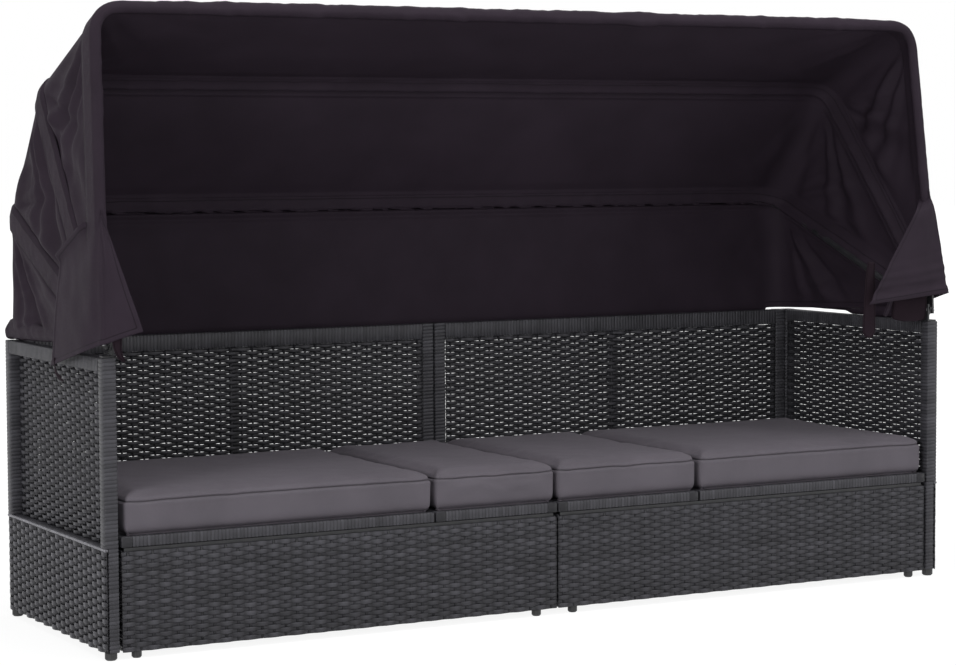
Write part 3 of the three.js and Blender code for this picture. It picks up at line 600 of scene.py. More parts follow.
def weave_tree():
    """Flat strands that swing round uprights, each row opposite to its neighbours."""
    size = bpy.context.scene.daybed_cane
    t, given, out = group_tree("Woven Panel", "GeometryNodeTree", {
        "Width": ("Float", 1.0), "Height": ("Float", 1.0),
        "Strand Pitch": ("Float", size.strand_pitch),
        "Strand Width": ("Float", size.strand_width),
        "Strand Thickness": ("Float", size.strand_thickness),
        "Upright Pitch": ("Float", size.warp_pitch),
        "Upright Width": ("Float", size.warp_width), "Wave": ("Float", size.wave),
        "Settle": ("Float", 0.0), "Relief": ("Float", 1.0),
        "Seed": ("Int", 1), "Material": ("Material", None),
    }, {"Geometry": "Geometry"})
    width, height = given["Width"], given["Height"]
    rows, row = evenly(t, height, given["Strand Pitch"])
    ups, up = evenly(t, width, given["Upright Pitch"])
    half_width = t.times(given["Strand Width"], 0.5)
    half_thick = t.times(given["Strand Thickness"], 0.5 / math.cos(math.pi / STRAND_SIDES))
    where = t.add("GeometryNodeInputPosition").outputs[0]
    at = t.axes(where)

    templates = t.add("GeometryNodeGeometryToInstance")
    for swing in (1.0, -1.0):
        tube = strip_mesh(t, STRAND_SIDES, t.times(ups, SEGMENTS), width)
        along = t.times_plus(width, 0.5, at[2])
        wave = t.maths("SINE", t.over(t.times(along, math.pi), up))
        steep = t.minus(1.5, t.times(t.times(wave, wave), 0.5))
        side = t.times(t.times(wave, steep), t.times(given["Wave"], swing))
        deep = t.minus(side, t.times(at[1], half_thick))
        drop = t.times(t.times(wave, swing), given["Settle"])
        # Stores each point's place on the wave, scaled per panel: the cane material turns it into
        # painted shade at the crossings and painted light on the crests
        tube = stored(t, tube, "crest", t.times(wave, given["Relief"]), "POINT")
        spot = t.point(along, deep, t.times_plus(at[0], half_width, drop))
        strand = t.shape("SetPosition", tube, {"Position": spot})
        t.tree.links.new(strand, templates.inputs[0])
    index = t.add("GeometryNodeInputIndex").outputs[0]
    strands = on_line(t, rows, row, "z", templates.outputs[0], Pick_Instance=True,
                      Instance_Index=t.maths("MODULO", index, 2.0))
    nudge = chance(t, -ROW_NUDGE, ROW_NUDGE, given["Seed"], "FLOAT_VECTOR")
    strands = t.add("GeometryNodeTranslateInstances", {
        "Instances": strands, "Translation": nudge}).outputs[0]

    tube = strip_mesh(t, STRAND_SIDES, SEGMENTS, height)
    spot = t.point(t.times(at[0], t.times(given["Upright Width"], 0.5)),
                   t.times(at[1], half_thick), t.times_plus(height, 0.5, at[2]))
    upright = t.shape("SetPosition", tube, {"Position": spot})
    uprights = on_line(t, ups, up, "x", upright)

    both = t.add("GeometryNodeJoinGeometry")
    for shape in (strands, uprights):
        t.tree.links.new(shape, both.inputs[0])
    seed = t.maths("ADD", given["Seed"], 7.0)
    woven = stored(t, both.outputs[0], "strand", chance(t, 0.0, 1.0, seed), "INSTANCE")
    close_tree(t, woven, where, given, out, 2.0, WEAVE_DRIFT)


def wrap_tree():
    """A bar of rounded section with cane wound round it, turn beside turn."""
    size = bpy.context.scene.daybed_cane
    t, given, out = group_tree("Wrapped Bar", "GeometryNodeTree", {
        "Length": ("Float", 1.0), "Width": ("Float", 0.028), "Depth": ("Float", 0.028),
        "Corner": ("Float", 0.0035), "Groove": ("Float", 0.0009), "Sides": ("Int", 12),
        "Wrap Pitch": ("Float", size.wrap_pitch), "Lean": ("Float", 0.0012),
        "Seed": ("Int", 1), "Material": ("Material", None),
    }, {"Geometry": "Geometry"})
    long = given["Length"]
    turns = t.maths("MAXIMUM", evenly(t, long, given["Wrap Pitch"])[0], 1.0)
    pitch = t.over(long, turns)
    tube = strip_mesh(t, given["Sides"], t.times(turns, SEGMENTS), long)
    where = t.add("GeometryNodeInputPosition").outputs[0]
    spun = t.add("ShaderNodeVectorRotate", {
        "Vector": where, "Angle": t.over(math.pi, given["Sides"])}, rotation_type="Z_AXIS")
    at = t.axes(spun.outputs[0])
    along = t.times_plus(long, 0.5, at[2])
    phase = t.over(along, pitch)
    ridge = t.maths("ABSOLUTE", t.maths("COSINE", t.times(phase, math.pi)))
    dip = t.maths("POWER", ridge, GROOVE_SHARPNESS)
    inset = t.times(dip, given["Groove"])
    squeeze = t.times(t.maths("SINE", t.times(phase, 2 * math.pi)), -TURN_BULGE)
    from_middle = t.maths("ABSOLUTE", t.minus(along, t.times(long, 0.5)))
    past = t.minus(from_middle, t.times(t.minus(long, 2 * PLAIN_END), 0.5))
    slant = t.times(t.times(at[0], given["Lean"]), t.maths("LESS_THAN", past, 0.0))
    spots = []
    for axis, side in enumerate(("Width", "Depth")):
        flat = t.minus(t.minus(t.times(given[side], 0.5), given["Corner"]), inset)
        flat = t.times(t.maths("SIGN", at[axis]), flat)
        spots.append(t.times_plus(at[axis], given["Corner"], flat))
    spots.append(t.maths("ADD", t.times_plus(squeeze, pitch, along), slant))
    # Stores 1 on a turn's crown and 0 in its groove: the cane material turns it into painted shade
    # in the grooves
    tube = stored(t, tube, "crest", t.minus(1.0, dip), "POINT")
    bar = t.shape("SetPosition", tube, {"Position": t.point(*spots)})
    turn = t.maths("FLOOR", t.over(t.axes(where)[2], pitch))
    key = t.maths("ADD", turn, 500.0)  # an ID isn't negative
    bar = stored(t, bar, "strand", chance(t, 0.0, 1.0, given["Seed"], key=key), "FACE")
    close_tree(t, bar, where, given, out, 1.0, WRAP_DRIFT)


# A bar along each axis: which way its own X, Y and Z turn
ALONG = {
    0: Matrix(((0, 0, 1, 0), (1, 0, 0, 0), (0, 1, 0, 0), (0, 0, 0, 1))),
    1: Matrix(((0, 1, 0, 0), (0, 0, 1, 0), (1, 0, 0, 0), (0, 0, 0, 1))),
    2: Matrix.Identity(4),
}
# A panel whose thin side lies along each axis
FACING = {
    0: Matrix.Rotation(math.pi / 2, 4, "Z"),
    1: Matrix.Identity(4),
    2: Matrix.Rotation(-math.pi / 2, 4, "X"),
}


def wrapped(one, other, axis, seed, finish_name="Charcoal Cane", **sizes):
    """A wrapped bar that fills the box between two corners, wound along one axis."""
    low = Vector([min(pair) for pair in zip(one, other)])
    high = Vector([max(pair) for pair in zip(one, other)])
    size = high - low
    middle = (low + high) / 2
    middle[axis] = low[axis]
    return modifier_mesh("bar", bpy.data.node_groups["Wrapped Bar"], {
        "Length": size[axis], "Width": size[(axis + 1) % 3], "Depth": size[(axis + 2) % 3],
        "Seed": seed, "Material": finish(finish_name), **sizes}, ALONG[axis], middle)


def wound(spots, seed, **sizes):
    """A wrapped bar for each pair of corners and its axis, each with the next seed."""
    return [wrapped(*spot, seed + index, **sizes) for index, spot in enumerate(spots)]


def woven(node, seed, box, **sizes):
    """A woven panel that fills a box, named after the CAD node that it stands for."""
    low, high = box
    size = high - low
    thin = min(range(3), key=lambda axis: size[axis])
    at = low.copy()
    at[thin] = (low[thin] + high[thin]) / 2
    across = 1 if thin == 0 else 0
    up = 1 if thin == 2 else 2
    mesh = modifier_mesh(node, bpy.data.node_groups["Woven Panel"], {
        "Width": size[across], "Height": size[up], "Seed": seed,
        "Material": finish("Charcoal Cane"), **sizes}, FACING[thin], at)
    return new_object(f"{node}_strands", mesh)


WOVEN = ("arm_upper_weave", "arm_lower_weave", "back_weave", "bench_front_weave",
         "bench_outer_weave", "bench_inner_weave", "tilt_slab_weave", "fixed_slab_weave")
SIDEWAYS = ("arm_upper_weave", "arm_lower_weave", "bench_outer_weave", "bench_inner_weave")
ARM_MARGIN = 0.0005  # between the lower weave and the arm's outline
ARM_LEDGE = 0.022  # how far the lower weave reaches up behind the ledge
BENCH_RIM = 0.003  # between the front weave and the slabs above it


def weave_sizes(name, side, look):
    """The strands of one panel: dense, unless it is one of the see-through ones."""
    pitch, width, wave, settle = look.strand_pitch, look.strand_width, look.wave, look.settle
    sizes = {
        # The panel's setting for painted light and shade scales the strands' painted crest light
        # and recess shade: raised on the lower arm panels and the left upper panel, lowered on the
        # right upper panel and the backs
        "arm_lower_weave": {"Strand Width": pitch * 1.34, "Wave": wave * 1.1, "Relief": 1.75},
        "arm_upper_weave": {
            "left": {"Settle": -settle, "Strand Width": pitch * 1.05, "Wave": wave * 1.1,
                     "Relief": 1.4},
            "right": {"Strand Width": width + 0.0004, "Relief": 0.7}}[side],
        "back_weave": {"Settle": settle * 0.3, "Strand Width": width + 0.0003, "Relief": 0.8},
    }.get(name, {"Strand Width": pitch * 1.24, "Wave": wave * 0.55})
    if name in SIDEWAYS:
        sizes["Upright Pitch"] = look.side_warp_pitch
    return sizes


def weave_box(name, side):
    """The box that a panel fills: its node's own, or a little more or less."""
    low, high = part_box(f"{name}_{side}")
    if name == "arm_lower_weave":
        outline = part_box(f"arm_frame_{side}")
        low = Vector((low.x, outline[0].y + ARM_MARGIN, outline[0].z + ARM_MARGIN))
        high = Vector((high.x, outline[1].y - ARM_MARGIN, high.z + ARM_LEDGE))
    if name == "bench_front_weave":
        high = high - Vector((0, 0, BENCH_RIM))
    return low, high


class DAYBED_OT_weave(bpy.types.Operator):
    """Weaves the panels of the arms, the backs, the benches and the slabs"""
    bl_idname = "daybed.weave"
    bl_label = "Woven Panels"

    def execute(self, context):
        weave_tree()
        for seed, (name, side) in enumerate((n, s) for n in WOVEN for s in SIDES):
            node = f"{name}_{side}"
            sizes = weave_sizes(name, side, context.scene.daybed_cane)
            piece = woven(node, seed + 11, weave_box(name, side), **sizes)
            place(piece, BODY_OF[node], None, [node])
        return {"FINISHED"}


class DAYBED_OT_wraps(bpy.types.Operator):
    """Winds cane round the posts and rails of the arms, the backs and the slabs"""
    bl_idname = "daybed.wraps"
    bl_label = "Wrapped Bars"

    def execute(self, context):
        wrap_tree()
        for side in SIDES:
            for build in (arm_bars, back_bars, tilt_bars, fixed_bars):
                node, meshes = build(side)
                place(joined(f"{node}_wrap", meshes), BODY_OF[node], None, [node])
        return {"FINISHED"}


ARM_SKIN = 0.0066  # depth of the woven side, behind which the lower posts stand
EDGE_INSET, EDGE_HEIGHT = 0.0008, 0.006  # of the ledge's edge strip
BACK_RAIL_DEPTH, BACK_RAIL_HEIGHT = 0.018, 0.028
STRUT_HALF = 0.009
SLAB = 0.0208  # height of the slabs' bars
SLAB_CORNER = 0.003
HINGE_CLEAR = 0.014  # from the hinge's axis to the first bar
NOSE = {"Corner": 0.0108, "Sides": 20, "Lean": 0.0}
LUGS = (0.060, -0.066)  # where the hinge lugs begin, from the front and from the rear
LUG_WIDTH, LUG_CLEAR = 0.006, 0.001
STAY_BAR_IN, STAY_BAR_HALF = 0.005, 0.011  # the bar that carries the stay
STAY_LUGS = (0.039, -0.045)
STAY_LUG_HALF, STAY_LUG_WIDTH = 0.008, 0.006


def arm_bars(side):
    """Square posts and rails; below the middle rail they stand behind the woven side."""
    node, sign = f"arm_frame_{side}", SIDES[side]
    low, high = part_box(node)
    upper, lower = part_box(f"arm_upper_weave_{side}"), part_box(f"arm_lower_weave_{side}")
    front, back = lower[0].y - GAP, lower[1].y + GAP
    outer, inner = (low.x, high.x)[::-sign]
    behind = outer - sign * ARM_SKIN
    ledge, rail = upper[0].z - GAP, upper[1].z + GAP
    bars = wound([
        ((outer, low.y, ledge), (inner, front, high.z), 2),
        ((outer, back, ledge), (inner, high.y, high.z), 2),
        ((behind, low.y, low.z), (inner, front, ledge), 2),
        ((behind, back, low.z), (inner, high.y, ledge), 2),
        ((behind, front, low.z), (inner, back, lower[0].z), 1),
        ((behind, front, lower[1].z), (inner, back, ledge), 1),
        ((outer, front, rail), (inner, back, high.z), 1)], 3)
    # The ledge's edge strip: a glossier cane, lightened as a painted highlight
    bars.append(wrapped((outer + sign * EDGE_INSET, low.y, ledge - EDGE_HEIGHT),
                        (behind, high.y, ledge), 1, 12, "Cane Edge", Corner=0.0025,
                        Groove=0.0006))
    return node, bars


def back_bars(side):
    node = f"back_frame_{side}"
    low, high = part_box(node)
    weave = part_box(f"back_weave_{side}")
    left, right = weave[0].x - GAP, weave[1].x + GAP
    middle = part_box(f"arm_lower_weave_{side}")[1].z + GAP
    behind, rail_top = high.y - BACK_RAIL_DEPTH, middle + BACK_RAIL_HEIGHT
    bars = wound([
        ((low.x, low.y, low.z), (left, high.y, high.z), 2),
        ((right, low.y, low.z), (high.x, high.y, high.z), 2),
        ((left, low.y, low.z), (right, high.y, weave[0].z - GAP), 0),
        ((left, low.y, weave[1].z + GAP), (right, high.y, high.z), 0),
        ((left, behind, middle), (right, high.y, rail_top), 0)], 13)
    strut = (weave[0].x + weave[1].x) / 2
    for bottom, top in ((weave[0].z, middle), (rail_top, weave[1].z)):
        bars.append(wrapped((strut - STRUT_HALF, behind, bottom),
                            (strut + STRUT_HALF, high.y, top), 2, 18))
    return node, bars


def slab_places(side, name):
    """A slab's box, its deck's underside, and the lines along which its bars run."""
    sign = SIDES[side]
    low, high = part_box(f"{name}_frame_{side}")
    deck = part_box(f"{name}_weave_{side}")
    outer, inner = (low.x, high.x)[::-sign]
    bar_outer, bar_inner = (deck[0].x, deck[1].x)[::-sign]
    return (low, high, deck[0].z - GAP, outer, inner, bar_outer + GAP * sign,
            bar_inner - GAP * sign, deck[0].y - GAP, deck[1].y + GAP, high.z - SLAB)


def from_ends(low, high, offsets):
    """Places along Y, counted from the front or, when they are negative, from the rear."""
    return [(low.y if offset > 0 else high.y) + offset for offset in offsets]


def tilt_bars(side):
    sign = SIDES[side]
    low, high, deck, outer, inner, bar_outer, web, front, back, bottom = slab_places(
        side, "tilt_slab")
    clear = inner + sign * SLAB / 2 + sign * HINGE_CLEAR
    bars = wound([
        ((outer, low.y, bottom), (bar_outer, high.y, high.z), 1),
        ((clear, front, bottom), (web, back, high.z), 1),
        ((bar_outer, low.y, bottom), (inner + sign * 0.001, front, high.z), 0),
        ((bar_outer, back, bottom), (inner + sign * 0.001, high.y, high.z), 0)],
        23, Corner=SLAB_CORNER)
    edges = [front]
    for start in from_ends(low, high, LUGS):
        edges += [start - LUG_CLEAR, start + LUG_WIDTH + LUG_CLEAR]
    edges.append(back)
    for start, end in zip(edges[::2], edges[1::2]):
        bars.append(wrapped((inner, start, bottom), (clear, end, high.z), 1, 29, **NOSE))
    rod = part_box(f"stay_{side}")
    at = rod[1].x - STAY_BAR_IN if sign < 0 else rod[0].x + STAY_BAR_IN
    bars.append(wrapped((at - STAY_BAR_HALF, front, bottom), (at + STAY_BAR_HALF, back, deck),
                        1, 30, Corner=SLAB_CORNER))
    middle = (rod[0].z + rod[1].z) / 2
    for start in from_ends(low, high, STAY_LUGS):
        bars.append(wrapped((at - STAY_LUG_HALF, start, middle - STAY_LUG_HALF),
                            (at + STAY_LUG_HALF, start + STAY_LUG_WIDTH, bottom), 2, 31,
                            "Black Powder Coat", Corner=0.0015, Groove=0.0))
    return f"tilt_slab_frame_{side}", bars


def fixed_bars(side):
    low, high, _, outer, inner, bar_outer, bar_inner, front, back, bottom = slab_places(
        side, "fixed_slab")
    bars = wound([
        ((outer, low.y, bottom), (bar_outer, high.y, high.z), 1),
        ((inner, low.y, bottom), (bar_inner, high.y, high.z), 1),
        ((bar_outer, low.y, bottom), (bar_inner, front, high.z), 0),
        ((bar_outer, back, bottom), (bar_inner, high.y, high.z), 0)], 33, Corner=SLAB_CORNER)
    return f"fixed_slab_frame_{side}", bars


# Cushions. Heights count from a cushion's underside.

COVER_HEIGHT, COVER_INSET, COVER_ROUNDING = 0.0765, 0.0008, 0.008
NEAR_EDGE, COVER_PITCH = (0, 0.004, 0.009, 0.016), 0.0105
SIDE_LEVELS = (0, 0.004, 0.010, 0.019, 0.029, 0.039, 0.049, 0.057)
SEAM_STEP, CROWN_STEP = 0.0022, 0.005  # from the seam to the lines round it
PRESSURE, FRAMES = 3.2, 14
SIDE_SWELL = 0.0038
SEAM_DEPTH, LOWER_LIP, UPPER_LIP = 0.0034, 0.0014, 0.0010
PUCKER, SIDE_FOLD, TOP_FOLD, TOP_PUCKER = 0.0020, 0.0012, 0.0012, 0.0016
FOLD_WAVES, FOLD_WAVES_UP, PUCKER_WAVES = 26, 9, 62  # per metre
PUCKER_AT, PUCKER_FADE = 0.006, 0.016  # from the seam to the deepest puckers
RIM = 0.05  # how far in from the edges the top is puckered
UNDER_ROUNDING, UNDER_SHARE = 0.019, 0.8


def spaced(size, fine, pitch):
    """Places along one side of a cushion: close together near both edges."""
    ends = [value for value in fine if value < size / 2]
    inner = size - 2 * ends[-1]
    count = max(round(inner / pitch), 1)
    middle = [ends[-1] + inner * step / count for step in range(1, count)]
    return ends + middle + [size - value for value in reversed(ends)]


def box_grid(xs, ys, zs):
    """A closed box of quads whose lines lie at the given places."""
    index, points, faces = {}, [], []

    def quad(*corners):
        for i, j, k in corners:
            if (i, j, k) not in index:
                index[i, j, k] = len(points)
                points.append((xs[i], ys[j], zs[k]))
        faces.append(tuple(index[corner] for corner in corners))

    nx, ny, nz = len(xs) - 1, len(ys) - 1, len(zs) - 1
    for i in range(nx):
        for j in range(ny):
            quad((i, j, 0), (i, j + 1, 0), (i + 1, j + 1, 0), (i + 1, j, 0))
            quad((i, j, nz), (i + 1, j, nz), (i + 1, j + 1, nz), (i, j + 1, nz))
        for k in range(nz):
            quad((i, 0, k), (i + 1, 0, k), (i + 1, 0, k + 1), (i, 0, k + 1))
            quad((i, ny, k), (i, ny, k + 1), (i + 1, ny, k + 1), (i + 1, ny, k))
    for j in range(ny):
        for k in range(nz):
            quad((0, j, k), (0, j, k + 1), (0, j + 1, k + 1), (0, j + 1, k))
            quad((nx, j, k), (nx, j + 1, k), (nx, j + 1, k + 1), (nx, j, k + 1))
    return np.array(points), faces


def rounded(points, low, high, radius):
    """Moves a box's points onto the same box with rounded edges."""
    core = np.clip(points, low + radius, high - radius)
    away = points - core
    far = np.linalg.norm(away, axis=1, keepdims=True)
    reach = np.abs(away).max(axis=1, keepdims=True)
    return np.where(far > 1e-9, core + away / np.maximum(far, 1e-9) * reach, points)


def evaluated_mesh(piece):
    graph = bpy.context.evaluated_depsgraph_get()
    return bpy.data.meshes.new_from_object(piece.evaluated_get(graph))


def inflate(piece):
    """Blows a closed cover up with the cloth simulation and returns where its points went."""
    scene = bpy.context.scene
    cloth = piece.modifiers.new("Cover", "CLOTH")
    how = cloth.settings
    how.quality = 4
    how.mass = 0.25
    how.tension_stiffness = how.compression_stiffness = 18
    how.shear_stiffness = 9
    how.bending_stiffness = 0.4
    how.use_pressure = True
    how.uniform_pressure_force = PRESSURE
    how.effector_weights.gravity = 0
    cloth.point_cache.frame_start, cloth.point_cache.frame_end = 1, FRAMES
    for step in range(1, FRAMES + 1):
        scene.frame_set(step)
    mesh = evaluated_mesh(piece)
    points = np.empty(len(mesh.vertices) * 3)
    mesh.vertices.foreach_get("co", points)
    bpy.data.meshes.remove(mesh)
    piece.modifiers.remove(cloth)
    scene.frame_set(1)
    return points.reshape(-1, 3)


def set_uv(mesh, name, values):
    """Writes a UV map from one pair of values for each face corner's vertex."""
    layer = mesh.uv_layers.get(name) or mesh.uv_layers.new(name=name)
    corners = np.empty(len(mesh.loops), int)
    mesh.loops.foreach_get("vertex_index", corners)
    layer.data.foreach_set("uv", values[corners].astype(np.float32).ravel())


def cushion(node, seed):
    """A box cushion: simulated swell, then its seams, puckers and flat coordinates."""
    look = bpy.context.scene.daybed_cushions
    low, high = (np.array(corner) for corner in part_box(node))
    high[2] = low[2] + COVER_HEIGHT
    seam = COVER_HEIGHT - look.seam_drop
    xs, ys = (low[axis] + np.array(spaced(high[axis] - low[axis], NEAR_EDGE, COVER_PITCH))
              for axis in (0, 1))
    zs = low[2] + np.array([*SIDE_LEVELS, seam - SEAM_STEP, seam, seam + SEAM_STEP,
                            seam + CROWN_STEP, COVER_HEIGHT])
    points, faces = box_grid(xs, ys, zs)
    inset = np.array([COVER_INSET, COVER_INSET, 0.0])
    base_low, base_high = low + inset, high - inset
    shrink = (base_high - base_low) / (high - low)
    points = base_low + (points - low) * shrink
    shaped = rounded(points, base_low, base_high, COVER_ROUNDING)
    mesh = mesh_from(f"{node}_cover", shaped, faces)
    piece = new_object(f"{node}_cover", mesh)
    height = points[:, 2] - low[2]
    step = inflate(piece) - shaped
    far = np.linalg.norm(step, axis=1)
    cap = np.where(height > COVER_HEIGHT - 0.012, look.swell, SIDE_SWELL)
    shaped = shaped + step * np.minimum(1, cap / np.maximum(far, 1e-9))[:, None]
    shaped[:, 2] = np.maximum(shaped[:, 2], low[2])
    shaped[height < 1e-6, 2] = low[2]

    half = (base_high - base_low)[:2] / 2
    middle = (base_low + base_high)[:2] / 2
    outward = shaped[:, :2] - middle
    near_x = np.abs(outward[:, 0]) / half[0] > np.abs(outward[:, 1]) / half[1]
    nearest = np.stack([near_x, ~near_x], axis=1)
    out_to = np.abs(points[:, :2] - middle)
    on_side = np.max(out_to / half, axis=1) > 0.999
    from_seam = height - seam
    groove = np.select([np.abs(from_seam) < 0.0006, (from_seam < -0.001) & (from_seam > -0.003),
                        (from_seam > 0.001) & (from_seam < 0.003)],
                       [-SEAM_DEPTH, LOWER_LIP, UPPER_LIP], 0.0)
    fold = np.array([noise(Vector((x * FOLD_WAVES + seed, y * FOLD_WAVES, z * FOLD_WAVES_UP)))
                     for x, y, z in points])
    tuck = np.array([noise(Vector((x * PUCKER_WAVES, y * PUCKER_WAVES + seed, 3.0)))
                     for x, y, _ in points])
    near = np.exp(-np.abs(from_seam - PUCKER_AT) / PUCKER_FADE) * (from_seam > -0.02)
    rim = np.clip(np.max(out_to - half, axis=1) / RIM + 1, 0, 1)
    shaped[:, 2] += (TOP_PUCKER * tuck * rim + TOP_FOLD * fold) * (from_seam > 0.004)
    low_edge = np.clip(UNDER_ROUNDING - height, 0, UNDER_ROUNDING)
    under = UNDER_ROUNDING - np.sqrt(UNDER_ROUNDING ** 2 - low_edge ** 2)
    push = groove + PUCKER * tuck * near + SIDE_FOLD * fold - UNDER_SHARE * under
    shaped[:, :2] += np.sign(outward) * nearest * (push * on_side)[:, None]
    mesh.vertices.foreach_set("co", shaped.astype(np.float32).ravel())
    mesh.update()
    flat = points[:, :2] + np.where(on_side[:, None] & nearest, points[:, 2:], 0)
    along = np.where(near_x, points[:, 1], points[:, 0])
    set_uv(mesh, "cloth", flat)
    set_uv(mesh, "seam", np.stack([along, np.where(on_side, from_seam, 0.05)], axis=1))
    smooth = piece.modifiers.new("Smooth", "SUBSURF")
    smooth.levels = smooth.render_levels = 1
    return applied(piece)


def applied(piece):
    """Turns a piece and its modifiers into a plain mesh."""
    mesh, old = evaluated_mesh(piece), piece.data
    piece.modifiers.clear()
    piece.data = mesh
    bpy.data.meshes.remove(old)
    mesh.name = piece.name
    return piece


class DAYBED_OT_cushions(bpy.types.Operator):
    """Makes the four box cushions"""
    bl_idname = "daybed.cushions"
    bl_label = "Cushions"

    def execute(self, context):
        nodes = [f"{name}_{side}" for name in ("tilt_cushion", "fixed_cushion") for side in SIDES]
        for seed, node in enumerate(nodes):
            piece = cushion(node, 5 + seed * 3)
            place(piece, BODY_OF[node], finish("Cushion Cover"), [node])
        return {"FINISHED"}


# Canopy. A hoop is the line of the cloth round the seat at one reach from the pivot line:
# up the left side, round a corner, across the roof, round a corner and down the right side.

PIVOT = Vector((0, -0.254, 0.608))
PIVOT_YZ = np.array(PIVOT)[1:]
# Each bow's angle above level, in degrees, and its reach from the pivot line
BOWS = {"front": (87.2, 0.638), "middle": (54.4, 0.615), "rear": (23.7, 0.600)}
HEM = (-2.3, 0.564)  # the same for the back panel's lower edge
LEANS = {-1: 0.001, 1: 0.040}  # of the bows' legs inwards, at the top of each side
LUG = 0.150  # the legs are upright up to this reach
SIDE_STEPS, BEND_STEPS, TOP_STEPS = 64, 12, 300
CORNER = SIDE_STEPS + BEND_STEPS // 2  # the column in the middle of a corner
BEND = 0.066  # how far a corner's curve reaches along the lines that it joins
SIDE_START = 0.060  # from the pivot line to the cloth's lower ends
TUBE = 0.0095  # radius of a bow within its cloth
INSET = 0.0015  # of the cloth from the CAD's outline
ARM_TOP = 0.581


def lean_at(sign, reach):
    return LEANS[sign] * np.maximum(reach - LUG, 0) / (BOWS["front"][1] - LUG)


def hoop(reach, inset):
    """Points (x, distance from the pivot line) of a hoop."""
    def at(sign, r):
        return np.array([sign * (1.0 - inset - lean_at(sign, r)), r])

    def towards(a, b):
        return a + (b - a) / np.linalg.norm(b - a) * (BEND - inset)

    left, right = at(-1, reach), at(1, reach)
    bends = []
    for before, corner, after in ((at(-1, LUG), left, right), (left, right, at(1, LUG))):
        start, end = towards(corner, before), towards(corner, after)
        t = np.linspace(0, 1, BEND_STEPS + 1)[:, None]
        bends.append((1 - t) ** 2 * start + 2 * t * (1 - t) * corner + t ** 2 * end)
    up = np.linspace(SIDE_START, bends[0][0][1], SIDE_STEPS + 1)[:-1]
    t = np.linspace(0, 1, TOP_STEPS + 1)[1:-1, None]
    top = bends[0][-1] + (bends[1][0] - bends[0][-1]) * t
    return np.concatenate([[at(-1, r) for r in up], bends[0], top, bends[1],
                           [at(1, r) for r in up[::-1]]])


def polar(edge):
    """Place (y, z) of an edge, from the pivot line."""
    degrees, reach = edge
    angle = math.radians(degrees)
    return np.array([math.cos(angle), math.sin(angle)]) * reach


def over(bow):
    """The cloth's edge that lies over a bow, as an angle and a reach."""
    return BOWS[bow][0], BOWS[bow][1] + TUBE


def surface(start, end, shares):
    """The smooth cloth between two edges, one row for each share of the way."""
    rows = []
    for part in shares:
        chord = start + (end - start) * part
        reach = np.linalg.norm(chord)
        way = chord / reach
        line = hoop(reach - INSET, INSET)
        rows.append(np.column_stack([line[:, 0], line[:, 1:] * way + PIVOT_YZ]))
    return np.array(rows)


def reach_of(grid):
    """How far points lie from the pivot line."""
    return np.linalg.norm(grid[..., 1:] - PIVOT_YZ, axis=-1)


def beside(here, there, mark, steps=40, widest=0.42):
    """The row of the cloth at a distance from a bow, while the cloth is wide enough."""
    stack = surface(here, there, np.linspace(0, 0.5, steps + 1))
    reach = reach_of(stack[0])
    width = np.linalg.norm(there - here) * reach / reach.max()
    at = np.clip(mark / width, 0, widest) * 2 * steps
    low = np.minimum(at.astype(int), steps - 1)
    part = (at - low)[:, None]
    columns = np.arange(stack.shape[1])
    return stack[low, columns] * (1 - part) + stack[low + 1, columns] * part


def normals_of(grid):
    """Outward normals of a grid of points, by differences."""
    down, along = np.gradient(grid, axis=0), np.gradient(grid, axis=1)
    normal = np.cross(down, along)
    normal /= np.maximum(np.linalg.norm(normal, axis=2, keepdims=True), 1e-12)
    outward = grid - np.array([0, PIVOT.y + 0.1, PIVOT.z])
    return normal * np.sign((normal * outward).sum())


def pair(first, second):
    return np.stack(np.broadcast_arrays(first, second), axis=-1)


def grid_mesh(name, grid, flat, seam, closed=False):
    """A mesh of quads out of a grid of points, with its two maps; closed makes it a tube."""
    rows, columns = grid.shape[:2]
    faces = []
    for j in range(rows if closed else rows - 1):
        for i in range(columns - 1):
            a, b = j * columns + i, (j + 1) % rows * columns + i
            faces.append((a, a + 1, b + 1, b))
    if closed:
        faces.append(tuple(j * columns for j in range(rows)))
        faces.append(tuple(j * columns + columns - 1 for j in reversed(range(rows))))
    mesh = mesh_from(name, grid.reshape(-1, 3), faces)
    set_uv(mesh, "cloth", flat.reshape(-1, 2))
    set_uv(mesh, "seam", seam.reshape(-1, 2))
    return mesh


def sheet_piece(name, grid, flat, seam, thickness, outward):
    """A sheet with a thickness out of a grid of points, and its flat area."""
    rows, columns = grid.shape[:2]
    mesh = grid_mesh(name, grid, flat, seam)
    piece = new_object(name, mesh)
    middle = mesh.polygons[(rows // 2) * (columns - 1) + columns // 2]
    if middle.normal.dot(Vector(outward)) < 0:
        mesh.flip_normals()
    area = sum(face.area for face in mesh.polygons)
    solid = piece.modifiers.new("Thickness", "SOLIDIFY")
    solid.thickness, solid.offset = thickness, -1
    return applied(piece), area


def ring_piece(name, loop, flat, seam):
    """A closed piece out of rings of points: first index round it, second along it."""
    mesh = grid_mesh(name, loop, flat, seam, closed=True)
    shape = bmesh.new()
    shape.from_mesh(mesh)
    bmesh.ops.recalc_face_normals(shape, faces=shape.faces)
    shape.to_mesh(mesh)
    shape.free()
    return new_object(name, mesh)


def measured(grid):
    """Lengths along and across a grid from its first point."""
    along, down = (np.linalg.norm(np.diff(grid, axis=axis), axis=2) for axis in (1, 0))
    return (np.pad(np.cumsum(along, axis=1), ((0, 0), (1, 0))),
            np.pad(np.cumsum(down, axis=0), ((1, 0), (0, 0))))


def waves(x, y, seed):
    """Smooth noise over arrays of two coordinates."""
    x, y = np.broadcast_arrays(x, y)
    flat = [noise(Vector((a, b, seed))) for a, b in zip(x.ravel(), y.ravel())]
    return np.array(flat).reshape(x.shape)


def smoothstep(low, high, value):
    t = np.clip((value - low) / (high - low), 0, 1)
    return t * t * (3 - 2 * t)


def bell(value, width):
    """1 where the value is 0, falling off to both sides."""
    return np.exp(-(value / width) ** 2)


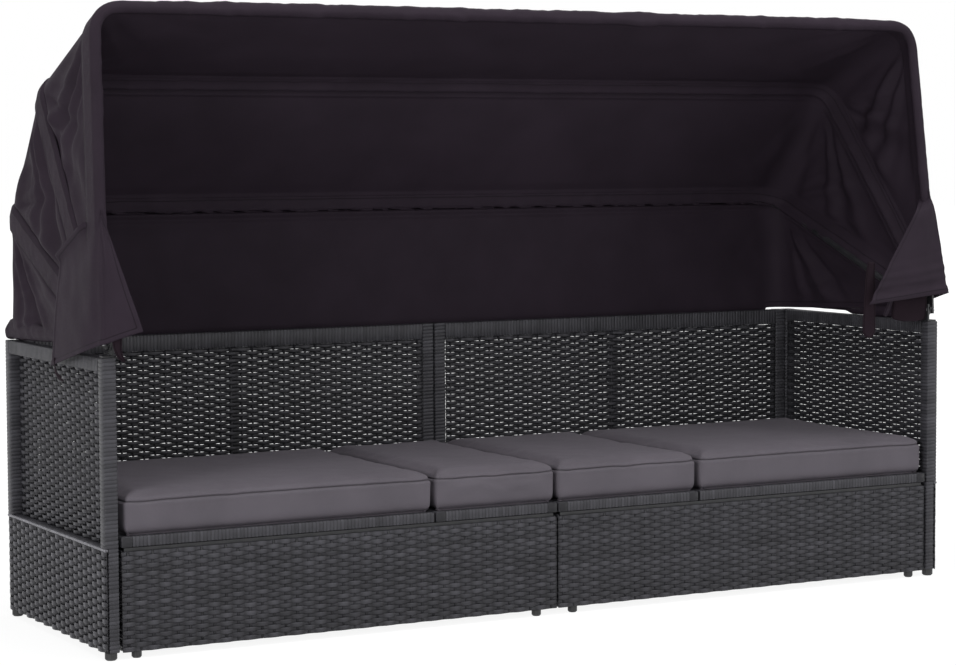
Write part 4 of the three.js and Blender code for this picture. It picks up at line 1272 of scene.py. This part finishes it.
def fan(inwards, away, seed, reach):
    """Soft folds that spread out over the cloth from one corner of a bow."""
    far = np.hypot(inwards, away)
    turn = np.arctan2(away, inwards)
    folds = waves(turn * 3.4 + seed, far * 0.9, seed)
    folds += 0.22 * waves(turn * 8.0, far * 1.3, seed + 4)
    return folds * smoothstep(0.0, 0.13, far) * (1 - smoothstep(0.35 * reach, reach, far))


# How strongly folds fan out from the corners of each panel's lower and upper bow
FANS = {"back": (0.4, 1.0), "roof": (1.0, 1.0), "front": (0.8, 1.3)}
EDGE_ROWS = np.arange(0.003, 0.046, 0.003)  # close rows beside each bow
ROW_PITCH = 0.0085
CORNER_HOLD = 0.040  # how far the corners keep the cloth tight
FAN_LOW, FAN_HIGH = 0.42, 0.50  # how far the folds fan out from the lower and upper corners
SIDE_WAVES = 0.45  # share of the folds that start from no corner
BROAD_WAVES, FINE_WAVES = 0.0022, 0.0011  # on the roof
SIDE_SAG, ROOF_FOLD = 0.006, 0.0055
PINCH, PINCH_AT, PINCH_WIDTH = 0.0042, 0.0025, 0.0045  # of the cloth along a pocket's seam
OVERLAP_ENDS = (-0.975, -0.955, 0.905, 0.93)  # where the overlap starts and ends along X
OVERLAP_OUT, HEM_SEAM = 0.0035, 0.012
NO_SEAM = 0.05  # any distance at which the sewn line doesn't show
SHEET_EXTRA = 0.08  # of the back panel's flat height, for its overlap and hems


def panel(name, first, last, seed):
    """A panel of the canopy between two edges: tight at its corners, folded on its sides."""
    look = bpy.context.scene.daybed_canopy
    start, end = polar(first), polar(last)
    width = np.linalg.norm(end - start)
    near = EDGE_ROWS / width
    middle = np.linspace(near[-1], 1 - near[-1], round(width / ROW_PITCH))
    w = np.concatenate([[0], near, middle[1:-1], 1 - near[::-1], [1]])
    grid = surface(start, end, w)
    w = w[:, None]
    reach = reach_of(grid)
    up = reach / reach.max()
    from_first, from_last = w * width * up, (1 - w) * width * up
    half = look.pocket / 2
    seam_gap = np.minimum(from_first + (half if first is HEM else 0), from_last) - half
    along, down = measured(grid)
    inwards = np.minimum(along - along[:, [CORNER]], along[:, [-1 - CORNER]] - along)
    roof = smoothstep(-0.03, 0.03, inwards)
    tight = 1 - bell(inwards, CORNER_HOLD)
    free = smoothstep(-0.003, 0.034, seam_gap) * tight
    across = grid[:, :, 0]
    low, high = FANS[name]
    folds = low * fan(inwards, from_first, seed + 1, FAN_LOW)
    folds += high * fan(inwards, from_last, seed + 2, FAN_HIGH)
    folds += SIDE_WAVES * waves(inwards * 5.0 + np.sign(across) * 3.7, w * 3.1, seed + 6)
    sag = 4 * w * (1 - w)
    roof_dip = look.sag * sag + ROOF_FOLD * folds * np.exp(-np.maximum(inwards, 0) / 0.30)
    roof_dip += BROAD_WAVES * waves(across * 3.1, w * 3.0, seed + 9)
    roof_dip += FINE_WAVES * waves(across * 11, w * 1.3, seed)
    side_dip = SIDE_SAG * sag * up + look.fold * folds
    dip = (roof * roof_dip + (1 - roof) * side_dip) * free
    dip += PINCH * bell(seam_gap - PINCH_AT, PINCH_WIDTH) * tight
    grid = grid - normals_of(grid) * dip[:, :, None]
    hem = NO_SEAM
    if first is HEM:
        ends = OVERLAP_ENDS
        drop = np.clip(1 - w / 0.3, 0, 1) * smoothstep(*ends[:2], across)
        drop *= 1 - smoothstep(*ends[2:], across)
        grid[:, :, 2] -= look.overlap * drop
        grid[:, :, 1] += OVERLAP_OUT * smoothstep(0, 1, drop)
        hem = from_first - HEM_SEAM
    return sheet_piece(f"canopy_{name}_cloth", grid, pair(along, down), pair(along, hem),
                       look.cloth, (0, -1 if name == "front" and end[0] < 0 else 1, 1))


def rows_beside(marks, before, here, after):
    """The cloth's rows at signed distances from a bow: behind it, then in front of it."""
    on_bow = beside(here, before, 0)
    rows = []
    for mark in marks:
        if mark > 0 and after is not None:
            rows.append(beside(here, after, mark))
        else:
            row = beside(here, before, abs(mark))
            rows.append(row if mark <= 0 else 2 * on_bow - row)
    return np.array(rows)


LIP = 0.0016  # from a pocket's edge to its full thickness
EDGE_RAISE, POCKET_RAISE = 0.0006, 0.0040
SEAM_MARGIN = 0.004  # from a pocket's edge to its sewn line
POCKET_PUCKER, POCKET_RUFFLE, INNER_RUFFLE = 0.0008, 0.0010, 0.0032
FREE_PUFF, FREE_RUFFLE, FOOT_GATHER = 0.0038, 0.0062, 0.010  # on the free edge's pocket
REAR_DEEPER = 0.0168  # how much deeper the rear pocket hangs on the sides
HUGGING = 0.9 * TUBE  # the inner side lies on the tube up to this distance


def pocket_marks(look, after):
    """Distances from the bow at which a pocket's outer and inner rows lie, and its two widths."""
    half = look.pocket / 2
    rear, ahead = (look.pocket, TUBE) if after is None else (half, half)
    behind = [-rear, -rear + LIP, -0.72 * rear, -0.45 * rear,
              -TUBE, -0.7 * TUBE, -0.35 * TUBE, 0]
    if after is None:
        marks = np.array(behind + [0.45 * TUBE, 0.8 * TUBE, 0.96 * TUBE, TUBE])
        return marks, marks, rear, ahead
    front = [0.35 * TUBE, 0.7 * TUBE, TUBE, 0.45 * ahead, 0.72 * ahead, ahead - LIP, ahead]
    shorter, longer = look.tuck / rear, (look.pocket - look.tuck) / ahead
    inner = [m if m > -TUBE * 1.05 else m * shorter - TUBE * 0.3 for m in behind]
    inner += [m if m < TUBE * 1.05 else m * longer for m in front]
    return np.array(behind + front), np.array(inner), rear, ahead


def pocket_depth(marks, ruffle, free_edge, roof):
    """How far a pocket's inner side lies below the cloth: round the tube, then flat."""
    depth, floor = [], []
    for mark in marks:
        far, rim = abs(mark), abs(marks[0] if mark < 0 else marks[-1])
        tube = TUBE + math.sqrt(max(TUBE ** 2 - min(far, TUBE) ** 2, 0))
        tent = 1.44 * TUBE * (rim - far) / max(rim - HUGGING, 1e-6)
        hugging = far < HUGGING or (free_edge and mark > 0)
        depth.append(tube if hugging else max(tent, EDGE_RAISE))
        floor.append(0.0 if hugging else -0.4)
    depth, floor = np.array(depth)[:, None], np.array(floor)[:, None]
    soft = (depth > 0.002) * (1 - np.exp(-depth / 0.006))
    return depth + INNER_RUFFLE * soft * np.maximum(ruffle, floor) * (1 + 0.8 * free_edge * roof)


def sleeve(name, bow, before, after, seed):
    """The pocket sewn round a bow: a raised band on the cloth, and one below round the tube."""
    look = bpy.context.scene.daybed_canopy
    free_edge = after is None
    here, before = polar(over(bow)), polar(before)
    after = None if free_edge else polar(after)
    outer_marks, inner_marks, rear, ahead = pocket_marks(look, after)
    band = rows_beside(outer_marks, before, here, after)
    under = rows_beside(inner_marks, before, here, after)
    zero = int(np.flatnonzero(outer_marks == 0)[0])
    ridge = normals_of(band)[zero]

    def leaning(grid):
        normal = 0.5 * normals_of(grid) + 0.5 * ridge[None]
        return normal / np.linalg.norm(normal, axis=2, keepdims=True)

    along, _ = measured(band)
    along_bow = along - along[:, [along.shape[1] // 2]]
    inwards = np.minimum(along[zero] - along[zero, CORNER],
                         along[zero, -1 - CORNER] - along[zero])
    roof = smoothstep(0.02, 0.10, inwards)
    mark = outer_marks[:, None]
    at_edge = (mark == mark[0]) | ((mark == mark[-1]) & (not free_edge))
    slant = along_bow / 0.034 + mark * 14
    ruffle = waves(slant, along_bow * 1.7, seed)
    ruffle += 0.4 * waves(slant * 2.1, along_bow * 3, seed + 2)
    raised = np.where(at_edge, EDGE_RAISE, POCKET_RAISE)
    raised = raised + POCKET_PUCKER * waves(along_bow / 0.013, mark * 60, seed + 5) * ~at_edge
    if free_edge:
        ahead_share = 0.25 + 0.75 * smoothstep(0.0, TUBE, mark)
        puff = FREE_PUFF * smoothstep(0.0, 0.25, inwards)
        puff = puff + FREE_RUFFLE * ruffle * roof * ahead_share
        reach = reach_of(band)
        foot = 1 - smoothstep(0.12, 0.30, reach)
        gathers = np.maximum(waves(reach * 60, mark * 9, seed + 8), 0)
        past = np.clip(mark, 0, TUBE)
        curl = TUBE - np.sqrt(np.maximum(TUBE ** 2 - past ** 2, 0))
        puff = puff * np.exp(-np.abs(mark) / 0.03)
        raised = raised + puff + FOOT_GATHER * foot * gathers - curl
    else:
        raised = raised + POCKET_RUFFLE * ruffle * ~at_edge
    outer = band + leaning(band) * raised[:, :, None]

    depth = pocket_depth(inner_marks, ruffle, free_edge, roof)
    if bow == "rear":
        depth = depth + REAR_DEEPER * (1 - smoothstep(0.01, 0.09, inwards)) * (depth > 0.002)
    inner = under - leaning(under) * depth[:, :, None]
    loop = np.concatenate([outer, inner[::-1]])
    marks = np.concatenate([outer_marks, inner_marks[::-1]])[:, None]
    lengths = np.concatenate([along_bow, along_bow[::-1]])
    seam = np.minimum(marks + rear, (1 if free_edge else ahead) - marks) - SEAM_MARGIN
    return ring_piece(name, loop, pair(lengths, marks), pair(lengths, seam))


# Rolled hems: the reach forwards from the back, then the roll's radius, how much that changes
# and between which shares of the length
HEMS = {
    "left": (0.345, (0.0225, -0.0075, 0.0, 0.8)),
    "right": (0.540, (0.0065, 0.0075, 0.45, 0.75)),
}
HEM_START, HEM_OUT, HEM_SQUASH = 0.3085, 0.9990, 0.72
HEM_COLUMNS, HEM_ROWS = 60, 18


def hem_roll(side):
    """The rolled lower hem of the canopy's side, on the arm's rail or, at the right, above it."""
    sign = SIDES[side]
    reach, (radius, more, low, high) = HEMS[side]
    t = np.linspace(0, 1, HEM_COLUMNS)[None, :]
    turn = np.linspace(0, 2 * math.pi, HEM_ROWS, endpoint=False)[:, None]
    radius = radius + more * smoothstep(low, high, t)
    radius = radius * (1 - 0.5 * smoothstep(0.93, 1, t) - 0.35 * smoothstep(0.03, 0, t))
    foot = 0.5815 + 0.013 * t if sign < 0 else 0.5880 - 0.0068 * smoothstep(0.44, 0.50, t)
    ring = 1 + 0.15 * waves(t * 9, np.cos(turn) * 1.2 + np.sin(turn), 3.0 + sign)
    ring += 0.10 * waves(t * 21 + np.sin(turn) * 0.8, np.cos(turn) * 2.0, 8.0 + sign)
    wide = radius * HEM_SQUASH
    x = sign * (HEM_OUT - wide - wide * ring * np.cos(turn))
    y = HEM_START - reach * t + 0.003 * waves(t * 6, np.sin(turn) * 1.5, 5.0)
    z = np.maximum(foot + radius + radius * np.maximum(ring, 0.9) * np.sin(turn), foot)
    return ring_piece(f"canopy_hem_{side}", np.stack([x, y, z], axis=2),
                      pair(reach * t, 0.02 * turn), pair(reach * t, 0.010 * (turn - 1.2)))


class DAYBED_OT_canopy(bpy.types.Operator):
    """Makes the canopy's three panels, the pockets of its bows and its rolled hems"""
    bl_idname = "daybed.canopy"
    bl_label = "Canopy"

    def execute(self, context):
        cloth = finish("Canopy Cloth")
        edges = [HEM, over("rear"), over("middle"), over("front")]
        bodies = ["frames", "rear_bow", "middle_bow", "front_bow"]
        bows = ["rear", "middle", "front"]
        for index, bow in enumerate(bows):
            after = edges[index + 2] if index < 2 else None
            pocket = sleeve(f"canopy_{bow}_pocket", bow, edges[index], after, 40.5 + index)
            place(pocket, bodies[index + 1], cloth)
        hems = [place(hem_roll(side), "frames", cloth) for side in SIDES]
        for index, (name, bow) in enumerate(zip(("back", "roof", "front"), bows)):
            first, last = edges[index], edges[index + 1]
            piece, area = panel(name, first, last, 3.1 + index * 7)
            coat(piece, cloth)
            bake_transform(piece)
            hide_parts(f"canopy_{name}_panel")
            height = float(np.linalg.norm(polar(last) - polar(first)))
            height += SHEET_EXTRA * (first is HEM)
        return {"FINISHED"}


# Front flaps. Sizes in metres: "up" from the arm's top, "back" and "ahead" from its front
# face, "out" from its outer face, "in" from the flap's own corner.
FLAPS = {
    "left": {"front_top_in": 0.018, "front_bottom_in": 0.090, "front_top_up": 0.240,
             "corner_top_up": 0.285, "front_bottom_up": 0.050, "corner_bottom_out": 0.018,
             "corner_top_back": 0.004, "corner_bottom_ahead": 0.030, "corner_bottom_up": 0.027,
             "tail_top_back": 0.219, "tail_bottom_back": 0.228, "tail_top_up": 0.190,
             "tail_bottom_down": 0.029, "rounding": 0.010},
    "right": {"front_top_in": 0.026, "front_bottom_in": 0.238, "front_top_up": 0.292,
              "corner_top_up": 0.300, "front_bottom_up": 0.046, "corner_bottom_out": 0.014,
              "corner_top_back": 0.004, "corner_bottom_ahead": 0.032, "corner_bottom_up": 0.065,
              "tail_top_back": 0.190, "tail_bottom_back": 0.270, "tail_top_up": 0.240,
              "tail_bottom_down": 0.008, "rounding": 0.003},
}
FLAP_COLUMNS, FLAP_ROWS = 84, 64
FLAP_TURN = 5 / 14  # share of the length that hangs before the arm's front face
ARM_FRONT = -0.268
TOP_BELOW_PIVOT = 0.027  # how far the arm's top lies below the bows' pivot line
FLAP_CLEAR = 0.0012
HEM_WIDTH, HEM_RAISE = 0.010, 0.0010
TUCK_BACK, TUCK_IN, LIP_OUT = 0.0120, 0.0042, 0.011


def mix(a, b, part):
    return a + (b - a) * part


def flap(side):
    """A skirt that hangs from the front bow's foot round the top of the arm."""
    look = bpy.context.scene.daybed_canopy
    sign, size = SIDES[side], FLAPS[side]
    along = np.linspace(0, 1, FLAP_COLUMNS + 1)[None, :]
    down = np.linspace(0, 1, FLAP_ROWS + 1)[:, None]
    on_front = along < FLAP_TURN
    part = np.where(on_front, along / FLAP_TURN, (along - FLAP_TURN) / (1 - FLAP_TURN))

    def edge_up(front, corner, tail):
        return np.where(on_front, mix(front, corner, part), mix(corner, tail, part))

    top_up = edge_up(size["front_top_up"], size["corner_top_up"], size["tail_top_up"])
    bottom_up = edge_up(size["front_bottom_up"], size["corner_bottom_up"],
                        -size["tail_bottom_down"])
    top_out = GAP - lean_at(sign, top_up - TOP_BELOW_PIVOT)
    corner_x = 1.0 + mix(top_out, size["corner_bottom_out"], down) + FLAP_CLEAR
    corner_y = ARM_FRONT + mix(size["corner_top_back"], -size["corner_bottom_ahead"], down)
    front_x = corner_x - mix(size["front_top_in"], size["front_bottom_in"], down)
    tail_y = ARM_FRONT + mix(size["tail_top_back"], size["tail_bottom_back"], down)

    wave = 0.0055 * down * (0.5 + waves(along * 3.1 + sign, down * 1.3, 4.0 + sign))
    wave += 0.0020 * waves(along * 9 + down * 2, down * 4, 8.0)
    if sign > 0:
        wave += 0.0075 * smoothstep(0.5, 0.9, down) * waves(along * 3, down * 14, 15.0)
    wave += 0.0035 * np.exp(-down / 0.10) * on_front * waves(along * 4, down * 40, 21.0)
    edge = np.minimum(np.minimum(down, 1 - down) * 0.22, np.minimum(along, 1 - along) * 0.45)
    wave = np.maximum(wave, 0) + HEM_RAISE * (edge < HEM_WIDTH)
    rounding = (0.005 + size["rounding"] * down) * bell(along - FLAP_TURN,
                                                        0.144 * (0.25 + 0.75 * down))
    tucked = bell(down, 0.12)
    free_edge = np.where(on_front, 1 - part, 0) * (sign > 0)
    lip = bell(down, 0.05) * ~on_front * smoothstep(0.22, 0.40, part)
    tuck_in = np.where(on_front, 1, np.exp(-np.maximum(part - 0.30, 0) / 0.05))
    tuck_back = np.where(on_front, TUCK_BACK + 0.045 * free_edge,
                         TUCK_BACK * np.exp(-part / 0.2))
    x = np.where(on_front, mix(front_x, corner_x, part), corner_x + wave) - rounding
    x = x + tucked * (0.036 * free_edge - TUCK_IN * tuck_in) + LIP_OUT * lip
    y = np.where(on_front, corner_y - wave, mix(corner_y, tail_y, part)) + rounding
    y = y + tucked * tuck_back
    z = ARM_TOP + mix(top_up, bottom_up, down)
    grid = np.stack([sign * x, y, z], axis=2)
    length_, fall = measured(grid)
    hem = np.minimum(np.minimum(fall, fall[-1] - fall),
                     np.minimum(length_, length_[:, -1:] - length_))
    piece, area = sheet_piece(f"canopy_flap_{side}_cloth", grid, pair(length_, fall),
                              pair(length_ + fall, hem - HEM_WIDTH), look.cloth, (sign, -0.4, 0))
    return piece, area, float(length_[-1, -1]), float(fall[-1].max())


# Ties and tails that hang by the flaps: their line, half width at each end, and which way
# they face. Each rides with the flap.
TIES = {
    "left_rear": ([(-1.0195, -0.048, 0.566), (-1.0205, -0.054, 0.545), (-1.0210, -0.072, 0.533),
                   (-1.0205, -0.104, 0.527)], 0.013, 0.002, (1, -0.35, 0)),
    "left_front": ([(-0.978, -0.289, 0.622), (-0.977, -0.290, 0.600), (-0.972, -0.291, 0.584),
                    (-0.963, -0.291, 0.575)], 0.011, 0.003, (0, 1, 0)),
    "right_tail": ([(0.806, -0.276, 0.720), (0.801, -0.278, 0.680), (0.797, -0.282, 0.620),
                    (0.796, -0.282, 0.552)], 0.010, 0.019, (0, 1, 0)),
    "right_strap": ([(0.872, -0.268, 0.650), (0.864, -0.269, 0.626), (0.849, -0.269, 0.597)],
                    0.006, 0.006, (0, 1, 0)),
    "right_inside": ([(0.925, -0.262, 0.660), (0.924, -0.262, 0.625), (0.922, -0.262, 0.583)],
                     0.050, 0.048, (0, 1, 0)),
}
TIE_STEPS, TIE_COLUMNS = 26, 9
TIE_SEAM = 0.003
TIE_CURVE = 0.0012  # how far a tie's surface swells and its edges bend


def smooth_path(points, steps):
    """Even places along a line of points, with its corners rounded off."""
    path = []
    for step in range(steps + 1):
        at = step / steps * (len(points) - 1)
        index = min(int(at), len(points) - 2)
        path.append(points[index].lerp(points[index + 1], at - index))
    for _ in range(3):
        middle = [(a + b * 2 + c) / 4 for a, b, c in zip(path, path[1:], path[2:])]
        path = [path[0], *middle, path[-1]]
    return path


def tie(name, thickness):
    """A flat strip of the cloth that hangs beside a flap."""
    points, wide, narrow, facing = TIES[name]
    facing = Vector(facing)
    path = smooth_path([Vector(p) for p in points], TIE_STEPS)
    grid = np.zeros((TIE_STEPS + 1, TIE_COLUMNS, 3))
    for j, spot in enumerate(path):
        heading = (path[min(j + 1, TIE_STEPS)] - path[max(j - 1, 0)]).normalized()
        side = heading.cross(facing).normalized()
        part = j / TIE_STEPS
        half = mix(wide, narrow, part) * math.sqrt(max(1 - max(part - 0.9, 0) ** 2 / 0.0121, 0.02))
        for i in range(TIE_COLUMNS):
            across = (i / (TIE_COLUMNS - 1) - 0.5) * 2
            swell = noise(Vector((part * 5, across * 1.4, len(name)))) + across * across
            grid[j, i] = spot + side * (half * across) + facing * (TIE_CURVE * swell)
    length_, fall = measured(grid)
    seam = np.minimum(length_, length_[:, -1:] - length_) - TIE_SEAM
    return sheet_piece(f"canopy_tie_{name}", grid, pair(length_, fall), pair(fall, seam),
                       thickness, -facing)[0]


class DAYBED_OT_flaps(bpy.types.Operator):
    """Hangs the two front flaps of the canopy with their ties"""
    bl_idname = "daybed.flaps"
    bl_label = "Canopy Flaps"

    def execute(self, context):
        cloth, tape = finish("Canopy Cloth"), finish("Dark Tape")
        thickness = context.scene.daybed_canopy.cloth
        ties = {name: place(tie(name, thickness), "front_bow",
                            cloth if name == "right_strap" else tape) for name in TIES}
        for side in SIDES:
            piece, area, width, height = flap(side)
            place(piece, "front_bow", cloth, [f"canopy_flap_{side}"])
        return {"FINISHED"}


# Panel and registration

GROUPS = {"daybed_cane": CaneSettings, "daybed_cushions": CushionSettings,
          "daybed_canopy": CanopySettings, "daybed_studio": StudioSettings}
STEPS = ("studio", "finishes", "weave", "wraps", "cushions", "canopy", "flaps")


class DAYBED_PT_panel(bpy.types.Panel):
    """Lists the steps that build the daybed"""
    bl_label = "Daybed"
    bl_idname = "DAYBED_PT_panel"
    bl_space_type = "VIEW_3D"
    bl_region_type = "UI"
    bl_category = "Daybed"

    def draw(self, context):
        for step in STEPS:
            self.layout.operator(f"daybed.{step}")
        for group in GROUPS:
            settings = getattr(context.scene, group)
            box = self.layout.box()
            for key in settings.__annotations__:
                box.prop(settings, key)


CLASSES = (*GROUPS.values(), DAYBED_OT_studio, DAYBED_OT_finishes, DAYBED_OT_weave,
           DAYBED_OT_wraps, DAYBED_OT_cushions, DAYBED_OT_canopy, DAYBED_OT_flaps,
           DAYBED_PT_panel)


def register():
    for made in CLASSES:
        bpy.utils.register_class(made)
    for name, group in GROUPS.items():
        setattr(bpy.types.Scene, name, bpy.props.PointerProperty(type=group))


def unregister():
    for name in GROUPS:
        delattr(bpy.types.Scene, name)
    for made in reversed(CLASSES):
        bpy.utils.unregister_class(made)


def main():
    register()
    for step in STEPS:
        getattr(bpy.ops.daybed, step)()
    bpy.context.view_layer.update()


if __name__ == "__main__":
    main()
